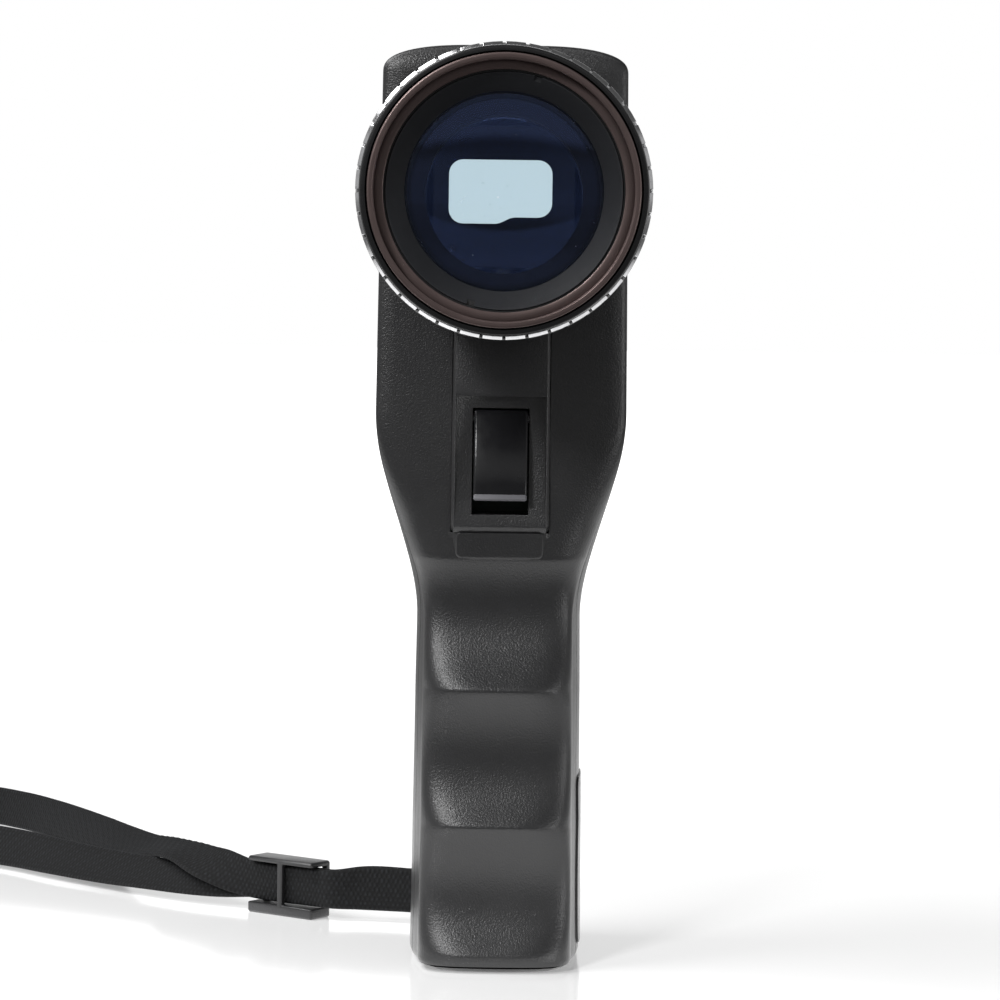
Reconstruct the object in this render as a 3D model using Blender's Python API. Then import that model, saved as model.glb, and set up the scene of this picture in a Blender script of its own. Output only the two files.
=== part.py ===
# A hand-held spot exposure meter with a pistol grip: objective barrel in front, eyepiece behind,
# trigger under the barrel and a woven wrist strap at the foot. Metres, +Z up, the lens looks along -Y.

import math

import bmesh
import bpy
import numpy as np
from mathutils import Matrix, Vector

# Driving dimensions of the whole meter. Heights add up from the foot, depths from the lens to the eyepiece.
FOOT_RIDGE_Z = 0.0028
LOW_GROOVE = 0.0214
MID_GROOVE = 0.0226
TOP_GROOVE = 0.0218
LENS_RISE = 0.0592
ROOF_RISE = 0.0247
BARREL_REACH = 0.0420
GRIP_LEAD = 0.0020
BOX_OVERHANG = 0.0190
EYEPIECE_REACH = 0.0140
WALL = 0.0020
CLEARANCE = 0.0003
SLIP = 0.00015
OVERRUN = 0.0020

# The grip is as deep as its two base screws need with the battery's cradle between them.
BASE_SCREW_INSET = 0.0074
BASE_BOSS_RADIUS = 0.0026
BATTERY_RADIUS = 0.0065
CRADLE_WALL = 0.0010
CRADLE_GAP = 0.0002
GRIP_SPARE = 0.0032
CRADLE_HALF = BATTERY_RADIUS + CLEARANCE + CRADLE_WALL
GRIP_DEPTH = 2 * (BASE_SCREW_INSET + BASE_BOSS_RADIUS + CRADLE_HALF) + CRADLE_GAP + GRIP_SPARE + WALL

RIDGES = np.cumsum([FOOT_RIDGE_Z, LOW_GROOVE, MID_GROOVE, TOP_GROOVE])
GRIP_TOP_Z = float(RIDGES[-1])
LENS_Z = GRIP_TOP_Z + LENS_RISE
TOTAL_HEIGHT = LENS_Z + ROOF_RISE
BOX_DEPTH = GRIP_DEPTH - GRIP_LEAD + BOX_OVERHANG
TOTAL_DEPTH = BARREL_REACH + BOX_DEPTH + EYEPIECE_REACH
FRONT_Y = -TOTAL_DEPTH / 2
REAR_Y = TOTAL_DEPTH / 2
BOX_FRONT = FRONT_Y + BARREL_REACH
BOX_REAR = REAR_Y - EYEPIECE_REACH

# Upper box, a little wider than the barrel's tube
BARREL_RADIUS = 0.0196
BOX_SIDE = 0.0010
TOP_TAPER = 0.0006
BOX_HALF_WIDTH = BARREL_RADIUS + BOX_SIDE
TOP_HALF_WIDTH = BOX_HALF_WIDTH - TOP_TAPER
BOX_FRONT_CORNER = 0.0022
BOX_REAR_CORNER = 0.0040
TOP_ARCH_RISE = 0.0046
TOP_EDGE_ROUND = 0.0014
UNDERSIDE_RISE = 0.0177
UNDERSIDE_ROUND = 0.0045

# Grip
PALM_SWELL = 0.0018
WAIST_HALF_WIDTH = 0.0138
FOOT_HALF_WIDTH = 0.0143
GRIP_SIDE_TAPER = 0.0015
GRIP_WIDEST_SHARE = 0.48
RIDGE_FACE_HALF = 0.0076
GROOVE_FACE_HALF = 0.0112
GROOVE_CORNER_SPAN = 0.0011
NECK_FACE_HALF = 0.0086
GRIP_FRONT_CORNER = 0.0070
NECK_FRONT_CORNER = 0.0085
GRIP_REAR_CORNER = 0.0090
GRIP_REAR_SHARE = 0.27
SHOULDER_DROP = 0.0108
SHOULDER_RISE = 0.0242
SHOULDER_LEAN_SHARE = 1.12
FOOT_ROUND = 0.0022
GROOVE_DEPTH = 0.0032
RIDGE_ROUND_SHARE = 0.07
FACE_CROWN = 0.0005

GRIP_FRONT = BOX_FRONT - GRIP_LEAD
GRIP_REAR = GRIP_FRONT + GRIP_DEPTH
SHOULDER_BOTTOM = GRIP_TOP_Z - SHOULDER_DROP
SHOULDER_TOP = GRIP_TOP_Z + SHOULDER_RISE
BOX_UNDERSIDE_Z = GRIP_TOP_Z + UNDERSIDE_RISE

# Where the mouldings part
GRIP_SEAM_BACK = 0.0120
SEAM_Y = GRIP_FRONT + GRIP_SEAM_BACK
COVER_DEPTH = 0.0130
COVER_Y = BOX_REAR - COVER_DEPTH
SPLIT_Z = BOX_UNDERSIDE_Z - UNDERSIDE_ROUND / 2

# Base plate
PLATE_RIM = 0.00080
PLATE_PLUG = 0.0032
SHELL_BOTTOM = PLATE_RIM + CLEARANCE

# Barrel and its rings, all turned about the lens axis
BARREL_NECK_STEP = 0.0036
BARREL_END_WALL = 0.0020
BARREL_NOSE_BACK = 0.0044
COLLAR_STEP = 0.0006
COLLAR_LENGTH = 0.0054
NUT_THICKNESS = 0.0020
NUT_LAND = 0.0006
FILTER_RING_WALL = 0.0014
FILTER_THREAD_WALL = 0.0010
FILTER_THREAD_DEPTH = 0.0034
FILTER_LIP_REACH = 0.0010
FILTER_LIP = 0.0006
FILTER_CHAMFER = 0.00015
FILTER_SKIRT = 0.0034
CELL_WALL = 0.0013
CELL_DEPTH = 0.0043
LENS_STEP = 0.0022
LENS_EDGE = 0.0033
LENS_BULGE = 0.0016
NECK_WALL = 0.0030
BAFFLE_WALL = 0.0008
STOP_THICKNESS = 0.0012
STOP_APERTURE = 0.0095
STOP_BACK = 0.0140
REAR_LENS_THICKNESS = 0.0036
REAR_LENS_BULGE = 0.0009
FUNNEL_MOUTH_LAND = 0.0002
FUNNEL_OVERLAP = 0.0006
FUNNEL_LIP = 0.0005
NOTCH_WIDTH = 0.0012
NOTCH_DEPTH = 0.0011
NOTCH_ANGLE = math.radians(74)

KNURL_COUNT = 40
KNURL_LAND_SHARE = 0.72
KNURL_FLANK_SHARE = 0.03
KNURL_DEPTH = 0.00045
KNURL_CHAMFER = 0.0005
EXPOSURE_WALL = 0.00185
EXPOSURE_RIM_STEP = 0.00065
EXPOSURE_SETBACK = 0.0006
EXPOSURE_NOSE = 0.0022
EXPOSURE_KNURL = 0.0058
SPEED_STEP = 0.00015
SPEED_KNURL = 0.0070
SPEED_SKIRT_WALL = 0.0020
SPEED_SKIRT = 0.0090
SPEED_TURN = math.radians(2.75)
SLEEVE_WALL = 0.0014

BARREL_NECK_RADIUS = BARREL_RADIUS - BARREL_NECK_STEP
STOP_BORE_RADIUS = BARREL_NECK_RADIUS - NECK_WALL
COLLAR_RADIUS = BARREL_RADIUS + COLLAR_STEP
SLEEVE_RADIUS = BARREL_RADIUS + SLEEVE_WALL
CELL_RADIUS = BARREL_RADIUS - CELL_WALL
LENS_RADIUS = CELL_RADIUS - LENS_STEP
FUNNEL_MOUTH = CELL_RADIUS - FUNNEL_MOUTH_LAND
FUNNEL_THROAT = LENS_RADIUS - FUNNEL_OVERLAP
FILTER_RING_RADIUS = BARREL_RADIUS + FILTER_RING_WALL
FILTER_THREAD_RADIUS = FILTER_RING_RADIUS - FILTER_THREAD_WALL
FILTER_LIP_RADIUS = BARREL_RADIUS - FILTER_LIP_REACH
EXPOSURE_RADIUS = FILTER_RING_RADIUS + EXPOSURE_WALL
EXPOSURE_RIM_RADIUS = EXPOSURE_RADIUS - EXPOSURE_RIM_STEP
SPEED_RADIUS = EXPOSURE_RADIUS + SPEED_STEP
SPEED_SKIRT_RADIUS = BARREL_RADIUS + SPEED_SKIRT_WALL

# Trigger housing, the raised strip under the barrel
STRIP_HALF_WIDTH = 0.00805
STRIP_RISE = 0.0042
STRIP_PROUD_TOP = 0.0002
STRIP_PROUD_BOTTOM = 0.0012
STRIP_BACK = 0.0056
STRIP_EDGE = 0.0005
STRIP_LIP = 0.0010
SILL_HEIGHT = 0.0042
SILL_PROUD = 0.0009
RECESS_HALF_WIDTH = 0.0074
RECESS_BOTTOM_RISE = 0.0012
RECESS_HEIGHT = 0.0212
RECESS_STEP = 0.0017
SLOT_HALF_WIDTH = 0.00465
SLOT_RISE = 0.0030
SLOT_HEIGHT = 0.0174

STRIP_BOTTOM_Z = GRIP_TOP_Z + STRIP_RISE

# Trigger and switch
TRIGGER_SIDE_GAP = 0.00025
TRIGGER_TOP_GAP = 0.0003
TRIGGER_LENGTH = 0.0148
TRIGGER_FACE_TOP = 0.0003
TRIGGER_FACE_BOTTOM = 0.0020
TRIGGER_TOE = 0.0017
TRIGGER_TOE_BACK = 0.0013
TRIGGER_BEVEL = 0.0006
TRIGGER_TAIL = 0.0030
PIVOT_DROP = 0.0014
PIVOT_BACK = 0.0036
PIN_RADIUS = 0.0008
PIN_SHOULDER = 0.0011
SWITCH_HALF_WIDTH = 0.0032
SWITCH_HEIGHT = 0.0062
SWITCH_DEPTH = 0.0046
SWITCH_ARM = 0.0088
PLUNGER_RADIUS = 0.0011
PLUNGER_REACH = 0.0012
PLUNGER_SINK = 0.0016
SPRING_COIL_RADIUS = 0.0013
SPRING_WIRE_RADIUS = 0.00022
SPRING_TURNS = 4
SPRING_ARM = 0.0122

# Circuit board and what it carries
BOARD_Y = 0.0005
BOARD_THICKNESS = 0.0012
BOARD_HALF_WIDTH = 0.0122
BOARD_RISE = 0.0012
BOARD_DROP = 0.0104
CHIP_SIZE = 0.0070
CHIP_THICKNESS = 0.0018
CHIP_RISE = 0.0100
POST_RADIUS = 0.0017
POST_HALF_SPAN = 0.0105
POST_INSET = 0.0035

# Finder inside the box
CHASSIS_HALF_WIDTH = 0.0118
CHASSIS_WALL = 0.0014
CHASSIS_FRONT = 0.0045
CHASSIS_BACK_GAP = 0.0006
CHASSIS_EAR = 0.0060
PRISM_LENGTH = 0.0180
PRISM_BACK = 0.0150
PRISM_CHAMFER = 0.0030
SPLITTER_THICKNESS = 0.0010
SPLITTER_LENGTH = 0.0145
SPLITTER_BACK = 0.0080
SENSOR_RADIUS = 0.0040
SENSOR_BRIM = 0.0007
MASK_HALF_WIDTH = 0.0089
MASK_HALF_HEIGHT = 0.0055
MASK_CORNER = 0.0026
MASK_THICKNESS = 0.0008
DISPLAY_HALF_WIDTH = 0.0075
DISPLAY_HEIGHT = 0.0042
DISPLAY_DEPTH = 0.0070
DISPLAY_BACK = 0.0090

BOARD_BOTTOM_Z = GRIP_TOP_Z + BOARD_RISE
BOARD_TOP_Z = LENS_Z - CHASSIS_HALF_WIDTH - BOARD_DROP
CHIP_Z = BOARD_BOTTOM_Z + CHIP_RISE

# Eyepiece
EYE_TUBE_RADIUS = 0.0100
EYE_TUBE_WALL = 0.0014
EYE_TUBE_INSIDE = 0.0110
EYE_TUBE_OUTSIDE = 0.0054
EYE_FLANGE_RADIUS = 0.0124
EYE_FLANGE = 0.0012
DIOPTRE_RADIUS = 0.0138
DIOPTRE_NECK_RADIUS = 0.0118
DIOPTRE_BODY = 0.0052
DIOPTRE_NECK = 0.0036
DIOPTRE_LENS_RADIUS = 0.0084
DIOPTRE_RIBS = 24
DIOPTRE_RIB_DEPTH = 0.0004
EYE_LENS_SEAT = 0.0008
EYE_LENS_THICKNESS = 0.0022
EYE_LENS_BULGE = 0.0005
CUP_RADIUS = 0.0158
CUP_WALL = 0.0012
CUP_LIP = 0.0010

# Battery, its contacts and its door
BATTERY_LENGTH = 0.0252
BATTERY_STUD_RADIUS = 0.0025
BATTERY_STUD = 0.0008
BATTERY_X = 0.0035
CONTACT_THICKNESS = 0.0004
CONTACT_RADIUS = 0.0050
COIL_TURNS = 3
COIL_BASE_RADIUS = 0.0042
COIL_TIP_RADIUS = 0.0022
COIL_WIRE_RADIUS = 0.0003
COIL_HEIGHT = 0.0030
SHELF_THICKNESS = 0.0010
DOOR_BOTTOM_Z = 0.0031
DOOR_MARGIN = 0.0004
DOOR_FRONT_BACK = 0.0008
DOOR_LENGTH = 0.0142
DOOR_CORNER = 0.0018
DOOR_PROUD = 0.0003
DOOR_THICKNESS = 0.0016

BATTERY_BOTTOM = PLATE_PLUG + SHELF_THICKNESS + CONTACT_THICKNESS + 3 * CLEARANCE
BATTERY_TOP = BATTERY_BOTTOM + BATTERY_LENGTH
COIL_START = BATTERY_TOP + CLEARANCE + COIL_WIRE_RADIUS
CRADLE_TOP = COIL_START + COIL_HEIGHT + COIL_WIRE_RADIUS + CLEARANCE + SHELF_THICKNESS
DOOR_HEIGHT = BATTERY_TOP + DOOR_MARGIN - DOOR_BOTTOM_Z

# Screws
SCREW_HEAD_RADIUS = 0.0019
SCREW_HEAD = 0.0012
SCREW_RADIUS = 0.0010
SCREW_LENGTH = 0.0090
SCREW_CROWN_SHARE = 0.55
SCREW_SLOT_SHARE = 0.28
SCREW_SLOT_DEPTH_SHARE = 0.5
BOSS_RADIUS = 0.0032
COVER_SCREW_INSET = 0.0048
COVER_SCREW_RISE = 0.0045
COVER_SCREW_DROP = 0.0072
COVER_SCREW_SINK = 0.0046
GRIP_SCREW_SPACING = 0.0160
GRIP_SCREW_SINK = 0.0120
BASE_SCREW_SINK = 0.0005
BASE_SCREW_LENGTH = 0.0062
LUG_SCREW_LENGTH = 0.0052
LUG_SCREW_SIDE = 0.0056

COVER_SCREW_SIDE = BOX_HALF_WIDTH - COVER_SCREW_INSET
COVER_SCREW_LOW_Z = SHOULDER_TOP + COVER_SCREW_RISE
GRIP_SCREW_LOW_Z = CRADLE_TOP + BOSS_RADIUS + 3 * CLEARANCE
GRIP_SCREW_HIGH_Z = GRIP_SCREW_LOW_Z + GRIP_SCREW_SPACING

# Strap lug, webbing and slider
LUG_HALF_WIDTH = 0.0082
LUG_EAR_HALF = 0.0026
LUG_THICKNESS = 0.0008
LUG_SEAT = 0.0010
STRAP_WIDTH = 0.0076
STRAP_THICKNESS = 0.0011
STRAP_MIDDLE_Z = 0.0059
LUG_PIN_RADIUS = 0.0008
LOOP_CLEARANCE = 0.0004
LOOP_TAIL = 0.0016
LAYER_GAP = 0.0003
SLIDER_LENGTH = 0.0150
SLIDER_LOWER_RAIL = 0.0019
SLIDER_HEIGHT = 0.0102
SLIDER_BAR = 0.0012
SLIDER_CENTRE_BAR = 0.0011
SLIDER_BEVEL = 0.0004
SLIDER_STRAP_WIDTH = 0.0068
STRAP_SPACING = 0.0052

# Facets around the round pieces
FINE_SEGMENTS = 40
PLAIN_SEGMENTS = 26
SMALL_SEGMENTS = 12
SCREW_SEGMENTS = 8
NECK_STEPS = 9
STRIP_STEPS = 6
COIL_SEGMENTS = 8

# Edges sharper than this stay crisp on rounded pieces
SHADE_ANGLE = math.radians(34)

# Half-widths of the arched roof as shares of the box's, from the spring of the arch to its crown
ROOF_SHARES = ((0.0, 1.0), (0.30, 0.985), (0.55, 0.940), (0.75, 0.840), (0.90, 0.640), (1.0, 0.300))

# Where the grip's side swells between its front corner and its widest line, across and away
SIDE_BELLY_SHARES = (0.75, 0.5)

# Height of the extra row in the foot's round edge, and rows of the base plate's edge, as shares
FOOT_ROW_SHARE = 0.45
RIM_SHARES = (0.0, 0.12, 0.45, 1.0)

# How fast the raised strip sinks towards the box as it rises, and the bend of the trigger's face
STRIP_SINK_SHARE = 1.4
TRIGGER_BEND_SHARES = ((0.35, 0.25), (0.75, 0.62))

# Where the doubled webbing closes up and lies flat on its way to the slider
STRAP_MERGE_SHARE = 0.35
STRAP_SETTLE_SHARE = 0.70

# Heights in a finger groove at which its curve is drawn, as shares of the groove
GROOVE_SHARES = (0.0, 0.045, 0.11, 0.22, 0.38, 0.56, 0.74, 0.87, 0.95)


def clear_scene():
    for thing in list(bpy.data.objects):
        bpy.data.objects.remove(thing, do_unlink=True)


# Materials

def plastic(name, colour, roughness, metallic=0.0, glass=0.0):
    material = bpy.data.materials.get(name)
    if material:
        return material
    material = bpy.data.materials.new(name)
    material.use_nodes = True
    shader = material.node_tree.nodes["Principled BSDF"]
    shader.inputs["Base Color"].default_value = (*colour, 1.0)
    shader.inputs["Roughness"].default_value = roughness
    shader.inputs["Metallic"].default_value = metallic
    shader.inputs["Transmission Weight"].default_value = glass
    material.diffuse_color = (*colour, 1.0)
    return material


BODY_BLACK = plastic("satin_black_plastic", (0.022, 0.022, 0.024), 0.45)
GLOSS_BLACK = plastic("gloss_black_plastic", (0.012, 0.012, 0.014), 0.12)
INNER_BLACK = plastic("inner_black_plastic", (0.018, 0.018, 0.018), 0.7)
RING_BLACK = plastic("black_anodised", (0.014, 0.014, 0.015), 0.25, 0.6)
RING_BROWN = plastic("brown_black_anodised", (0.045, 0.028, 0.027), 0.35, 0.6)
MATT_BLACK = plastic("matt_black_paint", (0.02, 0.02, 0.021), 0.8)
COATED_GLASS = plastic("coated_glass", (0.05, 0.07, 0.2), 0.02, 0.0, 1.0)
CLEAR_GLASS = plastic("clear_glass", (0.8, 0.85, 0.85), 0.02, 0.0, 1.0)
SPRING_STEEL = plastic("spring_steel", (0.55, 0.55, 0.56), 0.3, 1.0)
NICKEL = plastic("nickel_plate", (0.6, 0.58, 0.55), 0.25, 1.0)
SCREW_BLACK = plastic("blackened_steel", (0.03, 0.03, 0.03), 0.4, 0.8)
BOARD_GREEN = plastic("circuit_laminate", (0.02, 0.12, 0.05), 0.5)
RUBBER = plastic("black_rubber", (0.015, 0.015, 0.015), 0.85)
WEBBING = plastic("black_webbing", (0.012, 0.013, 0.014), 0.9)
CELL_LABEL = plastic("battery_case", (0.25, 0.26, 0.28), 0.35, 0.4)
LAMP_RED = plastic("display_window", (0.25, 0.02, 0.02), 0.2)


# Building blocks

def ease(share):
    share = min(max(share, 0.0), 1.0)
    return share * share * (3.0 - 2.0 * share)


def mix(first, second, share):
    return first + (second - first) * share


def add(name, mesh, material, place=(0.0, 0.0, 0.0), cutter=False, smooth=None):
    thing = bpy.data.objects.new(name, mesh)
    thing.location = place
    bpy.context.scene.collection.objects.link(thing)
    if material and not mesh.materials:
        mesh.materials.append(material)
    if smooth:
        mesh.shade_smooth()
        mesh.set_sharp_from_angle(angle=smooth)
    if cutter:
        thing.hide_render = True
        thing.display_type = "WIRE"
    return thing


def finish_mesh(name, bm):
    bmesh.ops.recalc_face_normals(bm, faces=bm.faces[:])
    mesh = bpy.data.meshes.new(name)
    bm.to_mesh(mesh)
    bm.free()
    return mesh


def loft_mesh(name, rings):
    # Closed rings of equal count, joined one after another and capped at both ends.
    bm = bmesh.new()
    rows = [[bm.verts.new(point) for point in ring] for ring in rings]
    for low, high in zip(rows, rows[1:]):
        for index in range(len(low)):
            nxt = (index + 1) % len(low)
            bm.faces.new((low[index], low[nxt], high[nxt], high[index]))
    bm.faces.new(rows[0][::-1])
    bm.faces.new(rows[-1])
    return finish_mesh(name, bm)


def block_mesh(name, low, high, bevel=0.0, segments=1):
    bm = bmesh.new()
    bmesh.ops.create_cube(bm, size=1.0)
    low, high = Vector(low), Vector(high)
    size = high - low
    bmesh.ops.scale(bm, vec=size, verts=bm.verts[:])
    bmesh.ops.translate(bm, vec=(low + high) / 2, verts=bm.verts[:])
    if bevel:
        bmesh.ops.bevel(
            bm, geom=bm.edges[:], offset=bevel, segments=segments, affect="EDGES", profile=0.5
        )
    return finish_mesh(name, bm)


def slab_mesh(name, outline, low, high):
    # A flat outline of (x, y) points, raised from z = low to z = high.
    return loft_mesh(name, [[(x, y, z) for x, y in outline] for z in (low, high)])


def rounded_outline(half_x, half_y, corner, steps=4):
    centres = ((1, 1), (-1, 1), (-1, -1), (1, -1))
    points = []
    for quarter, (sx, sy) in enumerate(centres):
        for step in range(steps + 1):
            angle = math.pi / 2 * (quarter + step / steps)
            points.append((
                sx * (half_x - corner) + corner * math.cos(angle),
                sy * (half_y - corner) + corner * math.sin(angle),
            ))
    return points


def turned_mesh(name, profile, segments, phase=0.0):
    # A closed (radius, y) profile spun about the Y axis. Points on the axis close into a pole.
    bm = bmesh.new()
    start = [bm.verts.new((radius * math.sin(phase), y, radius * math.cos(phase))) for radius, y in profile]
    edges = [bm.edges.new(pair) for pair in zip(start, start[1:])]
    if profile[0][0] > 0 or profile[-1][0] > 0:
        edges.append(bm.edges.new((start[-1], start[0])))
    bmesh.ops.spin(
        bm, geom=start + edges, cent=(0, 0, 0), axis=(0, 1, 0),
        angle=2 * math.pi, steps=segments, use_merge=True, use_duplicate=False,
    )
    bmesh.ops.remove_doubles(bm, verts=bm.verts[:], dist=SLIP / 100)
    return finish_mesh(name, bm)


def add_round(name, mesh, material):
    return add(name, mesh, material, (0.0, 0.0, LENS_Z), smooth=SHADE_ANGLE)


def add_turned(name, profile, segments, material):
    # A piece turned about the lens axis.
    return add_round(name, turned_mesh(name, profile, segments), material)


def along(mesh, axis):
    # Turns a piece made about Y so that it stands along another axis.
    turns = {"X": Matrix.Rotation(-math.pi / 2, 4, "Z"), "Z": Matrix.Rotation(math.pi / 2, 4, "X")}
    mesh.transform(turns[axis])
    return mesh


def rod_mesh(name, radius, start, end, segments, bevel=0.0):
    profile = [(0.0, start), (radius - bevel, start), (radius, start + bevel)]
    profile += [(radius, end - bevel), (radius - bevel, end), (0.0, end)]
    if not bevel:
        profile = [(0.0, start), (radius, start), (radius, end), (0.0, end)]
    return turned_mesh(name, profile, segments)


def boolean(target, other, operation="DIFFERENCE"):
    modifier = target.modifiers.new(other.name, "BOOLEAN")
    modifier.operation = operation
    modifier.solver = target.get("solver", "EXACT")
    modifier.object = other
    return modifier


def cutter(name, mesh, place=(0.0, 0.0, 0.0)):
    return add(name, mesh, None, place, cutter=True)


def lens_arc(radius, bulge, y, steps, outward):
    # Points of a spherical face from its rim to its pole. outward is -1 for a front face and +1 for a back.
    points = []
    for step in range(steps + 1):
        share = 1.0 - step / steps
        points.append((radius * share, y + outward * bulge * (1.0 - share * share)))
    return points


def knurled_rows(radius, depth, front, back, count, phase):
    # The two edges of a knurled band. Each pitch has a land and a groove between slanted flanks.
    shares = (0.0, KNURL_LAND_SHARE, KNURL_LAND_SHARE + KNURL_FLANK_SHARE, 1.0 - KNURL_FLANK_SHARE)
    floors = (0.0, 0.0, depth, depth)
    rows = []
    for y in (front, back):
        row = []
        for index in range(count):
            for share, floor in zip(shares, floors):
                angle = phase + 2 * math.pi * (index + share) / count
                reach = radius - floor
                row.append((reach * math.sin(angle), y, reach * math.cos(angle)))
        rows.append(row)
    return rows


def plain_row(radius, y, count, phase):
    angles = [phase + 2 * math.pi * index / count for index in range(count)]
    return [(radius * math.sin(angle), y, radius * math.cos(angle)) for angle in angles]


def ring_mesh(name, rows):
    # Rows of points around the lens axis, joined in a closed loop. A row may have a whole multiple
    # of the points of its neighbour, and the band between them is then fanned.
    bm = bmesh.new()
    made = [[bm.verts.new(point) for point in row] for row in rows]
    for first, second in zip(made, made[1:] + made[:1]):
        few, many = sorted((first, second), key=len)
        ratio = len(many) // len(few)
        for index, corner in enumerate(few):
            following = few[(index + 1) % len(few)]
            strip = [many[(index * ratio + step) % len(many)] for step in range(ratio + 1)]
            if ratio == 1:
                bm.faces.new((corner, following, strip[1], strip[0]))
                continue
            for before, after in zip(strip, strip[1:]):
                bm.faces.new((corner, after, before))
            bm.faces.new((corner, following, strip[-1]))
    return finish_mesh(name, bm)


# The body's outer form

def roof_share(z, roof):
    # How far up the arch z lies, and the half-width share there.
    spring = roof - TOP_ARCH_RISE
    height = (z - spring) / TOP_ARCH_RISE
    if height <= 0:
        return 0.0, 1.0
    heights = [pair[0] for pair in ROOF_SHARES]
    widths = [pair[1] for pair in ROOF_SHARES]
    return min(height, 1.0), float(np.interp(height, heights, widths))


def half_width(z):
    box = mix(BOX_HALF_WIDTH, TOP_HALF_WIDTH, (z - SHOULDER_TOP) / (TOTAL_HEIGHT - SHOULDER_TOP))
    if z >= SHOULDER_TOP:
        return box
    if z <= SHOULDER_BOTTOM:
        return mix(FOOT_HALF_WIDTH, WAIST_HALF_WIDTH, z / SHOULDER_BOTTOM)
    down = (SHOULDER_TOP - z) / (SHOULDER_TOP - SHOULDER_BOTTOM)
    return mix(BOX_HALF_WIDTH, WAIST_HALF_WIDTH, ease(down ** SHOULDER_LEAN_SHARE))


def groove(z):
    # How far the front is scooped back at height z, from 0 on a ridge to 1 in the middle of a groove.
    for low, high in zip(RIDGES, RIDGES[1:]):
        if low < z < high:
            share = (z - low) / (high - low)
            scoop = 1.0 - (2.0 * share - 1.0) ** 2
            return scoop * scoop / (scoop + RIDGE_ROUND_SHARE) * (1.0 + RIDGE_ROUND_SHARE)
    return 0.0


def front_line(z, smooth):
    ridge = mix(GRIP_FRONT, BOX_FRONT, ease((z - RIDGES[-2]) / (RIDGES[-1] - RIDGES[-2])))
    if smooth:
        neck = ease((z - SHOULDER_BOTTOM) / (STRIP_BOTTOM_Z - SHOULDER_BOTTOM))
        return mix(GRIP_FRONT + GROOVE_DEPTH, BOX_FRONT, neck)
    return ridge + GROOVE_DEPTH * groove(z)


def rear_line(z):
    swell = PALM_SWELL * math.sin(math.pi * min(z / SPLIT_Z, 1.0))
    out = ease((z - (BOX_UNDERSIDE_Z - UNDERSIDE_ROUND)) / (2 * UNDERSIDE_ROUND))
    return mix(GRIP_REAR + swell, BOX_REAR, out)


def section(z, inset=0.0, smooth=False, corner_steps=3):
    # The body's outline at height z as (x, y, z) points, inset all round by a wall's thickness.
    shoulder = ease((z - SHOULDER_BOTTOM) / (SHOULDER_TOP - SHOULDER_BOTTOM))
    neck = ease((z - SHOULDER_BOTTOM) / (STRIP_BOTTOM_Z - SHOULDER_BOTTOM))
    above = ease((z - STRIP_BOTTOM_Z) / (SHOULDER_TOP - STRIP_BOTTOM_Z))
    rise, roof_width = roof_share(z, TOTAL_HEIGHT - inset)
    foot = 0.0
    if z < FOOT_ROUND:
        foot = FOOT_ROUND - math.sqrt(max(FOOT_ROUND ** 2 - (FOOT_ROUND - z) ** 2, 0.0))
    edge = TOP_EDGE_ROUND * (1.0 - math.sqrt(1.0 - rise * rise))
    widest = (half_width(z) - inset) * roof_width - foot
    side = widest - GRIP_SIDE_TAPER * (1.0 - shoulder)
    scoop = 1.0 if smooth else groove(z)
    grip_face = mix(RIDGE_FACE_HALF, GROOVE_FACE_HALF, scoop)
    grip_corner = GRIP_FRONT_CORNER - GROOVE_DEPTH * scoop
    face = mix(mix(grip_face, NECK_FACE_HALF, neck), half_width(z) - BOX_FRONT_CORNER, above)
    face = min(face, side / (1.0 + SLIP)) * roof_width - foot
    corner = mix(mix(grip_corner, NECK_FRONT_CORNER, neck), BOX_FRONT_CORNER, above)
    face = min(face, side - mix(GROOVE_CORNER_SPAN, BOX_FRONT_CORNER, above) * roof_width)
    front = front_line(z, smooth) + inset + foot + edge
    rear = rear_line(z) - inset - foot - edge
    middle = mix(mix(front, rear, GRIP_WIDEST_SHARE), front + corner * 2, shoulder)
    rear_x = mix(GRIP_REAR_CORNER, BOX_REAR_CORNER, shoulder) * roof_width
    rear_y = mix((rear - front) * GRIP_REAR_SHARE, BOX_REAR_CORNER, shoulder)
    crown = FACE_CROWN * (1.0 - above)
    half = [(0.0, front), (face / 2, front + crown / 4)]
    for step in range(corner_steps + 1):
        angle = math.pi / 2 * step / corner_steps
        half.append((
            face + (side - face) * math.sin(angle),
            front + crown + corner * (1.0 - math.cos(angle)),
        ))
    turn = half[-1][1]
    belly_x, belly_y = SIDE_BELLY_SHARES
    half.append((mix(side, widest, belly_x), mix(turn, middle, belly_y)))
    half.append((widest, middle))
    for step in range(corner_steps + 1):
        angle = math.pi / 2 * step / corner_steps
        half.append((
            widest - rear_x * (1.0 - math.cos(angle)),
            rear - rear_y * (1.0 - math.sin(angle)),
        ))
    half.append((0.0, rear))
    other = [(-x, y) for x, y in half[-2:0:-1]]
    return [(x, y, z) for x, y in half + other]


def outer_heights():
    heights = [SHELL_BOTTOM, mix(SHELL_BOTTOM, FOOT_ROUND, FOOT_ROW_SHARE), FOOT_ROUND]
    for low, high in zip(RIDGES, RIDGES[1:]):
        heights += [mix(low, high, share) for share in GROOVE_SHARES]
    heights += [mix(RIDGES[-1], SHOULDER_TOP, step / NECK_STEPS) for step in range(NECK_STEPS + 1)]
    heights += [TOTAL_HEIGHT - TOP_ARCH_RISE * (1.0 - share) for share, _ in ROOF_SHARES]
    return heights


def outer_mesh(name, inset=0.0):
    return loft_mesh(name, [section(z, inset) for z in outer_heights()])


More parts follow.
